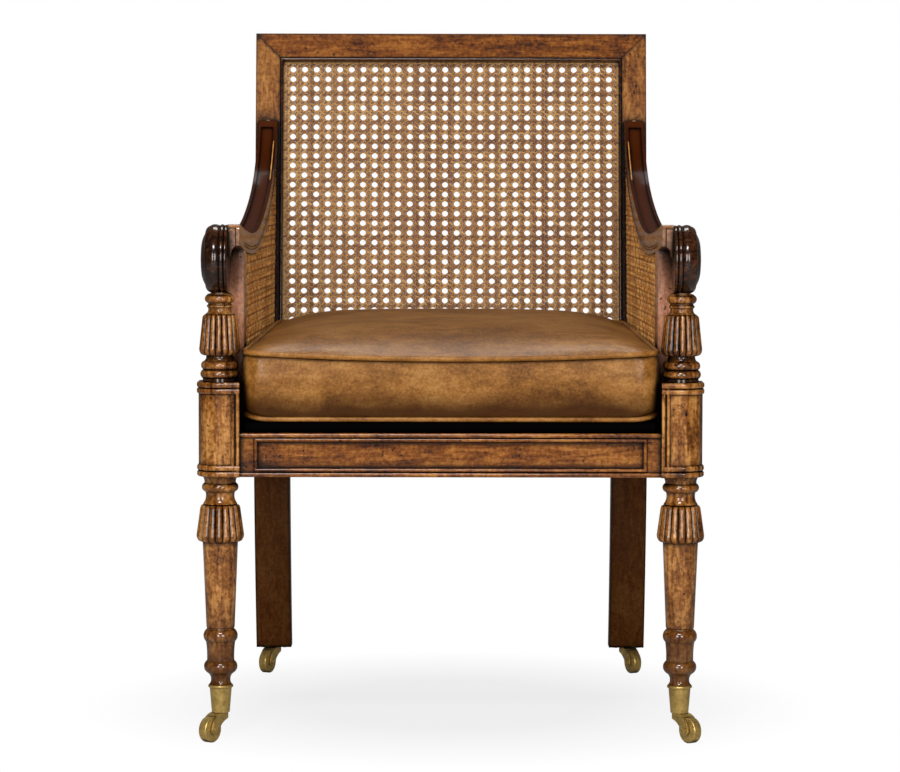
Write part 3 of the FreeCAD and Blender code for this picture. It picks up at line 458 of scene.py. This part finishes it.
# flat section swept along the strands, each with its own tone and its place in the weave's cells
def sweepStrands(g, given, curves, trimmed, pitch, rise):
    tone = g.node("FunctionNodeRandomValue", {"data_type": "FLOAT"}, {"Seed": given["Seed"]}, 1)
    toned = g.node("GeometryNodeStoreNamedAttribute", {"data_type": "FLOAT", "domain": "CURVE"},
                   {"Geometry": curves, "Name": "tone", "Value": tone})
    kept = g.node("GeometryNodeDeleteGeometry", {"domain": "POINT"},
                  {"Geometry": toned, "Selection": trimmed})
    flat = g.node("GeometryNodeSetCurveNormal", {"mode": "Z_UP"}, {"Curve": kept})
    ring = g.node("GeometryNodeCurvePrimitiveCircle", {"mode": "RADIUS"}, {"Resolution": 6, "Radius": 0.5})
    size = g.node("ShaderNodeCombineXYZ", None, {0: given["Width"], 1: given["Thick"], 2: 1.0})
    section = g.node("GeometryNodeTransform", None, {"Geometry": ring, "Scale": size})
    swept = g.node("GeometryNodeCurveToMesh", None,
                   {"Curve": flat, "Profile Curve": section, "Fill Caps": True})
    u, v = g.xyz(g.node("GeometryNodeInputPosition"))[:2]
    cell = g.node("ShaderNodeCombineXYZ", None, {0: u / pitch, 1: v / rise})
    return g.node("GeometryNodeStoreNamedAttribute", {"data_type": "FLOAT_VECTOR", "domain": "POINT"},
                  {"Geometry": swept, "Name": "cell", "Value": cell})


# strands in pairs that go over and under the pairs that cross them
def pairTree():
    own = [("Pairs", "Int"), ("Pitch", "Float"), ("Gap", "Float"), ("Wave", "Float"), ("Reach", "Float"),
           ("Samples", "Int"), ("Turn", "Float")]
    g, given = newTree("strandPairs", own + fieldInputs + strandInputs)
    rows = g.node("GeometryNodeMeshLine", {"mode": "OFFSET"}, {"Count": given["Pairs"] * 2})
    index = g.node("GeometryNodeInputIndex")
    pair = (index / 2).of("FLOOR")
    odd = index - pair * 2
    x = (pair - (given["Pairs"] - 1) / 2) * given["Pitch"] + (odd - 0.5) * given["Gap"]
    spread = g.node("ShaderNodeCombineXYZ", None, {0: x})
    rows = g.node("GeometryNodeSetPosition", None, {"Geometry": rows, "Position": spread})
    start = g.node("ShaderNodeCombineXYZ", None, {1: 0 - given["Reach"]})
    end = g.node("ShaderNodeCombineXYZ", None, {1: given["Reach"]})
    run = g.node("GeometryNodeCurvePrimitiveLine", None, {"Start": start, "End": end})
    run = g.node("GeometryNodeResampleCurve", {"mode": "COUNT"}, {"Curve": run, "Count": given["Samples"]})
    laid = g.node("GeometryNodeInstanceOnPoints", None, {"Points": rows, "Instance": run})
    laid = g.node("GeometryNodeRealizeInstances", None, {"Geometry": laid})
    px, py = g.xyz(g.node("GeometryNodeInputPosition"))[:2]
    cell = px / given["Pitch"]
    side = (cell - cell.of("ROUND")).of("SIGN")
    lift = given["Lift"] * side * (py * (2 * math.pi) / given["Wave"]).of("SINE")
    turn = given["Turn"]
    u = px * (1 - turn) - py * turn
    v = py * (1 - turn) + px * turn
    woven = g.node("ShaderNodeCombineXYZ", None, {0: u, 1: v, 2: lift})
    laid = g.node("GeometryNodeSetPosition", None, {"Geometry": laid, "Position": woven})
    nu, nv = g.xyz(g.node("GeometryNodeInputPosition"))[:2]
    pitch = given["Pitch"] * (1 - turn) + given["Wave"] * turn
    rise = given["Wave"] * (1 - turn) + given["Pitch"] * turn
    field = outsideField(g, given, nu, nv)
    endTree(g, sweepStrands(g, given, laid, field, pitch, rise), given["Material"])
    return g


# single strands on the slant, over one set of pairs and under the other
def slantTree():
    own = [("Strands", "Int"), ("Pitch", "Float"), ("Rise", "Float"), ("Reach", "Float"), ("Samples", "Int"),
           ("Hand", "Float")]
    g, given = newTree("slantStrands", own + fieldInputs + strandInputs)
    rows = g.node("GeometryNodeMeshLine", {"mode": "OFFSET"}, {"Count": given["Strands"]})
    x = (g.node("GeometryNodeInputIndex") - (given["Strands"] - 1) / 2) * given["Pitch"]
    spread = g.node("ShaderNodeCombineXYZ", None, {0: x})
    rows = g.node("GeometryNodeSetPosition", None, {"Geometry": rows, "Position": spread})
    across = given["Reach"] * given["Pitch"] / given["Rise"] * given["Hand"]
    start = g.node("ShaderNodeCombineXYZ", None, {0: 0 - across, 1: 0 - given["Reach"]})
    end = g.node("ShaderNodeCombineXYZ", None, {0: across, 1: given["Reach"]})
    run = g.node("GeometryNodeCurvePrimitiveLine", None, {"Start": start, "End": end})
    run = g.node("GeometryNodeResampleCurve", {"mode": "COUNT"}, {"Curve": run, "Count": given["Samples"]})
    laid = g.node("GeometryNodeInstanceOnPoints", None, {"Points": rows, "Instance": run})
    laid = g.node("GeometryNodeRealizeInstances", None, {"Geometry": laid})
    py = g.xyz(g.node("GeometryNodeInputPosition"))[1]
    lift = given["Lift"] * given["Hand"] * (py * (2 * math.pi) / given["Rise"]).of("COSINE")
    woven = g.node("ShaderNodeCombineXYZ", None, {2: lift})
    laid = g.node("GeometryNodeSetPosition", None, {"Geometry": laid, "Offset": woven})
    nu, nv = g.xyz(g.node("GeometryNodeInputPosition"))[:2]
    field = outsideField(g, given, nu, nv)
    endTree(g, sweepStrands(g, given, laid, field, given["Pitch"], given["Rise"]), given["Material"])
    return g


# cane panels
caneLook = {"pitch": 0.01676, "rise": 0.01386, "uprightGap": 0.0044, "uprightWidth": 0.0041,
            "levelGap": 0.0031, "levelWidth": 0.0028, "slantWidth": 0.0029, "thick": 0.0006, "lift": 0.0005,
            "slantLift": 0.0008, "perWave": 4, "seed": 11, "finish": "cane"}
backLook = {"rake": 8.5, "half": 0.2443, "low": 0.0762, "high": 0.4929, "edge": 0.2417, "topEdge": 0.0028,
            "crossing": 0.2767, "foot": (0.0, 0.245592, 0.394), "out": 0.0012}
sideLook = {"left": 0.0765, "right": 0.5368, "low": 0.416, "high": 0.80, "splay": 0.032,
            "front": (-0.2688, -0.294408), "reach": (0.29, 0.28),
            "weave": {"thick": 0.0016, "finish": "sideCane"}}

pairs = pairTree()
slants = slantTree()


def caneField(name, place, field, reach, more=None):
    look = {**caneLook, **(more or {})}
    strand = {"Thick": look["thick"], "Material": finishes[look["finish"]], **field}
    across, up = reach    # half sizes that cover the field
    columns = 2 * math.ceil(across / look["pitch"]) + 1
    rows = 2 * math.ceil(up / look["rise"]) + 1
    made = []
    for label, turn, count, pitch, wave, run in (("upright", 0.0, columns, look["pitch"], look["rise"], up),
                                                 ("level", 1.0, rows, look["rise"], look["pitch"], across)):
        made.append(fromTree(name + label.title(), pairs, {
            "Pairs": count, "Pitch": pitch, "Gap": look[label + "Gap"], "Width": look[label + "Width"],
            "Wave": wave, "Reach": run, "Samples": int(2 * run / wave * look["perWave"]) + 1, "Turn": turn,
            "Lift": look["lift"], "Seed": look["seed"], **strand}, place))
    for label, hand in (("Rising", 1.0), ("Falling", -1.0)):
        made.append(fromTree(name + label, slants, {
            "Strands": columns + rows + (columns + rows) % 2, "Pitch": look["pitch"], "Rise": look["rise"],
            "Reach": up, "Samples": int(2 * up / look["rise"] * look["perWave"]) + 1, "Hand": hand,
            "Lift": look["slantLift"], "Width": look["slantWidth"],
            "Seed": look["seed"] + 5, **strand}, place))
    for piece in made:
        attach(piece, "chair_frame")
    print(name, sum(len(p.data.polygons) for p in made), "faces")
    return made


leanSin, leanCos = math.sin(math.radians(backLook["rake"])), math.cos(math.radians(backLook["rake"]))
up, out = Vector((0, leanSin, leanCos)), Vector((0, -leanCos, leanSin))
centre = Vector(backLook["foot"]) + up * backLook["crossing"] + out * backLook["out"]
backPlace = Matrix(((1, up.x, out.x, centre.x), (0, up.y, out.y, centre.y),
                    (0, up.z, out.z, centre.z), (0, 0, 0, 1)))
low, high = backLook["low"] - backLook["crossing"], backLook["high"] - backLook["crossing"]
backField = {"Left": -backLook["half"], "LeftLean": 0.0, "Right": backLook["half"], "Lean": 0.0,
             "Low": low, "High": high, "Roofed": 0.0}
backCane = caneField("backCane", backPlace, backField, (backLook["half"], max(-low, high)))
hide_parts("back_cane")
# plain strands along the edges of the back
edgeLook = {"Pairs": 2, "Gap": 0.0042, "Width": 0.0048, "Wave": 1.0, "Reach": 0.3, "Samples": 41,
            "Lift": 0.0, "Seed": 3, "Thick": 0.0012}
for name, turn, pitch in (("Sides", 0.0, backLook["edge"]), ("Ends", 1.0, high - backLook["topEdge"])):
    edging = fromTree("backCane" + name, pairs, {**edgeLook, "Pitch": 2 * pitch, "Turn": turn,
                                                 "Material": finishes["cane"], **backField}, backPlace)
    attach(edging, "chair_frame")

deepWay = Vector((sideLook["splay"], 1, 0)).normalized()
inWay = deepWay.cross(Vector((0, 0, 1)))
start = Vector((*sideLook["front"], 0)) + deepWay * sideOrigin[0]
sidePlace = Matrix(((deepWay.x, 0, inWay.x, start.x), (deepWay.y, 0, inWay.y, start.y),
                    (0, 1, 0, sideOrigin[1]), (0, 0, 0, 1)))
tilt = leanSin / leanCos
sideRight = sideLook["right"] + (sideOrigin[1] - backLook["foot"][2]) * tilt - sideOrigin[0]
sideField = {"Left": sideLook["left"] - sideOrigin[0], "LeftLean": 0.0, "Right": sideRight, "Lean": tilt,
             "Low": sideLook["low"] - sideOrigin[1], "High": sideLook["high"] - sideOrigin[1], "Roofed": 1.0}
for side, flip in (("Left", 1), ("Right", -1)):
    place = Matrix.Diagonal((flip, 1, 1, 1)) @ sidePlace
    panel = caneField("sideCane" + side, place, sideField, sideLook["reach"], sideLook["weave"])
    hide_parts("side_cane_" + side.lower())


# webbing: single straps woven over and under each other, let into the seat rails
webLook = {"pitch": 0.10125, "step": 0.08567, "width": 0.05, "thick": 0.0018, "lift": 0.001,
           "middle": (0.050625, -0.0254, 0.392), "reach": 0.271, "crossReach": 0.33,
           "half": 0.2566, "splay": 0.032, "seed": 4}


def webStraps():
    look = webLook
    shared = {"Pairs": 3, "Width": look["width"], "Thick": look["thick"], "Lift": look["lift"],
              "Seed": look["seed"], "Material": finishes["jute"], "Low": -1.0, "High": 1.0, "Roofed": 0.0}
    offset = look["middle"][0]
    long = {"Pitch": 2 * look["pitch"], "Gap": look["pitch"], "Wave": 2 * look["step"],
            "Reach": look["reach"], "Samples": 55, "Turn": 0.0,
            "Left": -1.0, "LeftLean": 0.0, "Right": 2 * look["pitch"], "Lean": 0.0}
    cross = {"Pitch": 2 * look["step"], "Gap": look["step"], "Wave": 2 * look["pitch"],
             "Reach": look["crossReach"], "Samples": 133, "Turn": 1.0,
             "Left": -look["half"] - offset, "LeftLean": look["splay"],
             "Right": look["half"] - offset, "Lean": -look["splay"]}
    for label, way in (("long", long), ("cross", cross)):
        place = Matrix.Translation(look["middle"])
        straps = fromTree("webbing" + label.title(), pairs, {**shared, **way}, place)
        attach(straps, "chair_frame")
        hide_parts("webbing_" + label)
    print("webbing")


webStraps()

# seat: plan of the cushion and deck, closing in towards the back
seatLook = {"front": -0.31441, "back": 0.22309, "half": 0.2635, "splay": 0.032, "frontAxis": -0.294408}


def seatPlan(inset, corner):
    y0, y1 = seatLook["front"] + inset, seatLook["back"] - inset
    half0 = seatLook["half"] - seatLook["splay"] * (y0 - seatLook["frontAxis"]) - inset
    half1 = seatLook["half"] - seatLook["splay"] * (y1 - seatLook["frontAxis"]) - inset
    r = max(corner - inset * 0.3, corner * 0.3)
    corners = [(half0, y0, -1, 1), (half1, y1, -1, -1), (-half1, y1, 1, -1), (-half0, y0, 1, 1)]
    line = []
    for index, (x, y, sx, sy) in enumerate(corners):
        middle = Vector((x + sx * r, y + sy * r))
        for k in range(9):
            angle = math.radians(-90 + 90 * index + 90 * k / 8)
            line.append(middle + Vector((math.cos(angle), math.sin(angle))) * r)
        after = corners[(index + 1) % 4]
        target = Vector((after[0] + after[2] * r, after[1] + after[3] * r))
        angle = math.radians(90 * index)
        target += Vector((math.cos(angle), math.sin(angle))) * r
        count = 60
        line += [line[-1].lerp(target, k / count) for k in range(1, count)]
    return line


def ringsToMesh(name, rings):
    made = bmesh.new()
    loops = [[made.verts.new(p) for p in ring] for ring in rings]
    for a, b in zip(loops, loops[1:]):
        for k in range(len(a)):
            n = (k + 1) % len(a)
            made.faces.new((a[k], a[n], b[n], b[k]))
    made.faces.new(list(reversed(loops[0])))
    made.faces.new(loops[-1])
    bmesh.ops.triangulate(made, faces=[f for f in made.faces if len(f.verts) > 4])
    bmesh.ops.recalc_face_normals(made, faces=made.faces)
    mesh = bpy.data.meshes.new(name)
    made.to_mesh(mesh)
    made.free()
    return mesh


# cushion: boxed leather case; each seam is an inset, a lift and a widening of the plan
cushionLook = {"low": 0.4078, "edge": 0.0862, "backLift": 0.014, "crown": 0.025, "fullness": 4.0, "rise": 0.2,
               "corner": 0.024, "dip": 0.0068, "dipHalf": 0.25, "dipDepth": 0.12, "cornerLift": 0.009,
               "cornerFrom": 0.224, "cornerOver": 0.034, "cornerDepth": 0.1, "drawnLow": 0.0095,
               "drawnTop": 0.003, "side": 0.2652, "voxel": 0.006, "pressure": 4.0, "frames": 20, "cap": 0.004,
               "heldNear": 0.006, "heldUnder": 0.003, "welt": 0.0037,
               "topSeam": (0.0, 0.0006, -0.0115), "bottomSeam": (0.0098, 0.0026, 0.0225)}


def seamDrop(x, y):    # the front edge hangs a little between its corners
    look = cushionLook
    near = max(0.0, 1 - (y - seatLook["front"]) / look["dipDepth"])
    return look["dip"] * near * (1 - min(1.0, abs(x) / look["dipHalf"]) ** 2)


def cornerRise(x, y):    # and its lower corners turn up
    look = cushionLook
    aside = max(0.0, (abs(x) - look["cornerFrom"]) / look["cornerOver"])
    return look["cornerLift"] * aside ** 2 * max(0.0, 1 - (y - seatLook["front"]) / look["cornerDepth"])


def cushionRing(inset, lift, top, widen=0.0):
    look = cushionLook
    ring = []
    for p in seatPlan(inset, look["corner"]):
        deep = (p.y - seatLook["front"]) / (seatLook["back"] - seatLook["front"])
        z = look["low"] + lift + top * (look["backLift"] * deep - seamDrop(p.x, p.y))
        z = z + (1 - top) * cornerRise(p.x, p.y)
        ring.append(Vector((p.x * (1 + widen), p.y, z)))
    return ring


def borderInset(share):    # drawn in under the swell, less so at the top
    low, top = max(0.0, 1 - share / 0.5), max(0.0, share / 0.5 - 1)
    return cushionLook["drawnLow"] * low ** 2 + cushionLook["drawnTop"] * top ** 2


def cushionForm():
    look = cushionLook
    under = ((0.21, 0.0), (0.1, 0.0), (0.03, 0.0), (0.014, 0.001))
    rings = [cushionRing(inset, lift, 0) for inset, lift in under]
    for share in (0.0, 0.12, 0.3, 0.5, 0.7, 0.88, 1.0):
        inset = borderInset(share)    # the sides stay nearly upright
        rings.append(cushionRing(inset, 0.004 + (look["edge"] - 0.004) * share, share, 2.4 * inset))
    for share in (0.05, 0.12, 0.2, 0.3, 0.42, 0.6, 0.8, 1.0):
        lift = look["crown"] * (1 - (1 - share) ** look["fullness"])
        rings.append(cushionRing(0.003 + look["rise"] * share, look["edge"] + lift, 1))
    return ringsToMesh("cushionForm", rings)


inset, lift, widen = cushionLook["topSeam"]
seamLines = {"top": cushionRing(inset, cushionLook["edge"] + lift, 1, widen)}
inset, lift, widen = cushionLook["bottomSeam"]
seamLines["bottom"] = cushionRing(inset, lift, 0, widen)


# swells the case between its seams, which are held
def puffed(obj):
    look = cushionLook
    remesh = obj.modifiers.new("remesh", "REMESH")
    remesh.mode = "VOXEL"
    remesh.voxel_size = look["voxel"]
    solid = bpy.data.meshes.new_from_object(obj.evaluated_get(bpy.context.evaluated_depsgraph_get()))
    obj.modifiers.clear()
    obj.data = solid
    seams = [p for line in seamLines.values() for p in line]
    tree = kdtree.KDTree(len(seams))
    for k, p in enumerate(seams):
        tree.insert(p, k)
    tree.balance()
    held = obj.vertex_groups.new(name="held")
    for v in solid.vertices:
        distance = tree.find(v.co)[2]
        under = v.co.z < look["low"] + look["heldUnder"]
        if distance < look["heldNear"] or under:
            held.add([v.index], 1.0, "REPLACE")
    rest = [v.co.copy() for v in solid.vertices]
    cloth = obj.modifiers.new("cloth", "CLOTH")
    cloth.settings.quality = 6
    cloth.settings.mass = 0.4
    cloth.settings.tension_stiffness = 12
    cloth.settings.compression_stiffness = 12
    cloth.settings.shear_stiffness = 6
    cloth.settings.bending_stiffness = 0.6
    cloth.settings.use_pressure = True
    cloth.settings.uniform_pressure_force = look["pressure"]
    cloth.settings.vertex_group_mass = "held"
    cloth.settings.effector_weights.gravity = 0.0
    cloth.collision_settings.use_collision = False
    cloth.point_cache.frame_start = 1
    cloth.point_cache.frame_end = look["frames"]
    for step in range(1, look["frames"] + 1):
        bpy.context.scene.frame_set(step)
    swollen = bpy.data.meshes.new_from_object(obj.evaluated_get(bpy.context.evaluated_depsgraph_get()))
    obj.modifiers.clear()
    for v, was in zip(swollen.vertices, rest):
        move = v.co - was
        if move.length > look["cap"]:
            v.co = was + move.normalized() * look["cap"]
        side = look["side"] - seatLook["splay"] * (v.co.y - seatLook["frontAxis"])
        v.co.x = max(-side, min(side, v.co.x))    # the arms' panels hold it
    obj.data = swollen
    bpy.context.scene.frame_set(1)


cushion = bpy.data.objects.new("leatherCushion", cushionForm())
bpy.context.collection.objects.link(cushion)
puffed(cushion)
finer = cushion.modifiers.new("finer", "SUBSURF")
finer.levels = finer.render_levels = 1
smooth = bpy.data.meshes.new_from_object(cushion.evaluated_get(bpy.context.evaluated_depsgraph_get()))
cushion.modifiers.clear()
cushion.data = smooth
cushion.vertex_groups.clear()
smooth.shade_smooth()
smooth.materials.clear()
smooth.materials.append(finishes["leather"])
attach(cushion, "cushion")
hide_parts("seat_cushion")
print("cushion", len(smooth.polygons), "faces")


# round cord in leather, sewn into a seam
def weltTree():
    g, given = newTree("weltCord", [("Geometry", "Geometry"), ("Radius", "Float"), ("Material", "Material")])
    path = g.node("GeometryNodeMeshToCurve", None, {"Mesh": given["Geometry"]})
    ring = g.node("GeometryNodeCurvePrimitiveCircle", {"mode": "RADIUS"},
                  {"Resolution": 10, "Radius": given["Radius"]})
    cord = g.node("GeometryNodeCurveToMesh", None, {"Curve": path, "Profile Curve": ring})
    endTree(g, cord, given["Material"])
    return g


welts = weltTree()
for label, line in seamLines.items():
    path = bpy.data.meshes.new(label + "Seam")
    path.from_pydata([tuple(p) for p in line], [(k, (k + 1) % len(line)) for k in range(len(line))], [])
    values = {"Radius": cushionLook["welt"], "Material": finishes["weltLeather"]}
    cord = fromTree(label + "Welt", welts, values, Matrix(), path)
    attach(cord, "cushion")
print("welts")

# deck: thin black pad on the webbing
deckLook = {"low": 0.394, "high": 0.407, "round": 0.004, "inset": 0.0015}


def deckForm():
    look = deckLook
    rings = []
    low, high = look["low"], look["high"]
    for inset, z in ((0.12, low + 0.0002), (0.002, low + 0.0002), (0.0005, low + 0.0015),
                     (0.0, high - look["round"] - 0.001), (0.0012, high - 0.0018), (0.004, high),
                     (0.02, high), (0.12, high)):
        rings.append([Vector((p.x, p.y, z)) for p in seatPlan(inset + look["inset"] + 0.0017, 0.006)])
    return ringsToMesh("deckForm", rings)


deck = bpy.data.objects.new("blackDeck", deckForm())
bpy.context.collection.objects.link(deck)
deck.data.shade_smooth()
deck.data.materials.append(finishes["deckCloth"])
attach(deck, "chair_frame")
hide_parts("seat_deck")

# floor, backdrop, world, light
stageLook = {"floor": (0.5, 0.5, 0.5), "near": 0.8, "from": 0.2, "to": 0.5, "size": 30.0, "wall": 6.0}


# white where the camera sees it, with the object's shadow kept near its feet
def stageWhite(name, near):
    material, g = newFinish(name)
    path = g.node("ShaderNodeLightPath").socket.node
    seen = Wire(g, path.outputs["Is Camera Ray"])
    spot = g.node("ShaderNodeTexCoord", None, None, "Object")
    away = g.node("ShaderNodeVectorMath", {"operation": "LENGTH"}, {0: spot}, "Value")
    lift = near + (1 - near) * g.ramp(away, stageLook["from"], stageLook["to"])
    matt = g.node("ShaderNodeBsdfDiffuse", None, {"Color": (*stageLook["floor"], 1)})
    white = g.node("ShaderNodeEmission", None, {"Color": (1, 1, 1, 1), "Strength": 1.0})
    both = g.node("ShaderNodeMixShader", None, {0: seen * lift, 1: matt, 2: white})
    g.node("ShaderNodeOutputMaterial", None, {"Surface": both})
    return material


def stageSheet(name, corners, near):
    mesh = bpy.data.meshes.new(name)
    mesh.from_pydata(corners, [], [(0, 1, 2, 3)])
    mesh.materials.append(stageWhite(name + "White", near))
    sheet = bpy.data.objects.new(name, mesh)
    bpy.context.collection.objects.link(sheet)


def stageRoom():
    half, wall = stageLook["size"] / 2, stageLook["wall"]
    floor = [(-half, -half, 0), (half, -half, 0), (half, wall, 0), (-half, wall, 0)]
    stageSheet("floor", floor, stageLook["near"])
    stageSheet("backdrop", [(-half, wall, 0), (half, wall, 0), (half, wall, half), (-half, wall, half)], 1.0)


worldLook = {"strength": 0.06}


def stageWorld():
    world = bpy.data.worlds.new("studio")
    bpy.context.scene.world = world
    world.use_nodes = True
    world.node_tree.nodes.clear()
    g = Graph(world.node_tree)
    glow = g.node("ShaderNodeBackground", None, {"Color": (1, 1, 1, 1), "Strength": worldLook["strength"]})
    g.node("ShaderNodeOutputWorld", None, {"Surface": glow})


lampLook = [
    {"name": "key", "at": (-0.3, -3.4, 3.4), "aim": (0, 0, 0.5), "size": (1.2, 0.6), "watts": 100},
    {"name": "leftBox", "at": (-0.95, -3.6, 1.1), "aim": (0, 0, 0.55), "size": (0.7, 1.3), "watts": 50},
    {"name": "rightBox", "at": (0.95, -3.6, 1.1), "aim": (0, 0, 0.55), "size": (0.7, 1.3), "watts": 46},
    {"name": "backBox", "at": (0, 2.2, 4.2), "aim": (0, 0.3, 0.5), "size": (2.0, 1.0), "watts": 50},
]


def stageLamps():
    for look in lampLook:
        lamp = bpy.data.lights.new(look["name"], "AREA")
        lamp.shape = "RECTANGLE"
        lamp.size, lamp.size_y = look["size"]
        lamp.energy = look["watts"]
        holder = bpy.data.objects.new(look["name"], lamp)
        bpy.context.collection.objects.link(holder)
        way = Vector(look["aim"]) - Vector(look["at"])
        turn = way.to_track_quat("-Z", "Y").to_matrix().to_4x4()
        holder.matrix_world = Matrix.Translation(look["at"]) @ turn


cameraLook = {"at": (-0.0008, -4.6364, 0.73875), "down": 3.774, "roll": 0.0964, "lens": 137.52}


def stageCamera():
    look = cameraLook
    lens = bpy.data.cameras.new("camera")
    lens.lens = look["lens"]
    lens.sensor_width = 36.0
    lens.clip_end = 100.0
    camera = bpy.data.objects.new("camera", lens)
    bpy.context.collection.objects.link(camera)
    tip = Matrix.Rotation(math.radians(90 - look["down"]), 4, "X")
    roll = Matrix.Rotation(math.radians(look["roll"]), 4, "Z")
    camera.matrix_world = Matrix.Translation(look["at"]) @ (tip @ roll)
    bpy.context.scene.camera = camera


stageRoom()
stageWorld()
stageLamps()
stageCamera()
bpy.context.scene.view_settings.view_transform = "Standard"
print("stage")
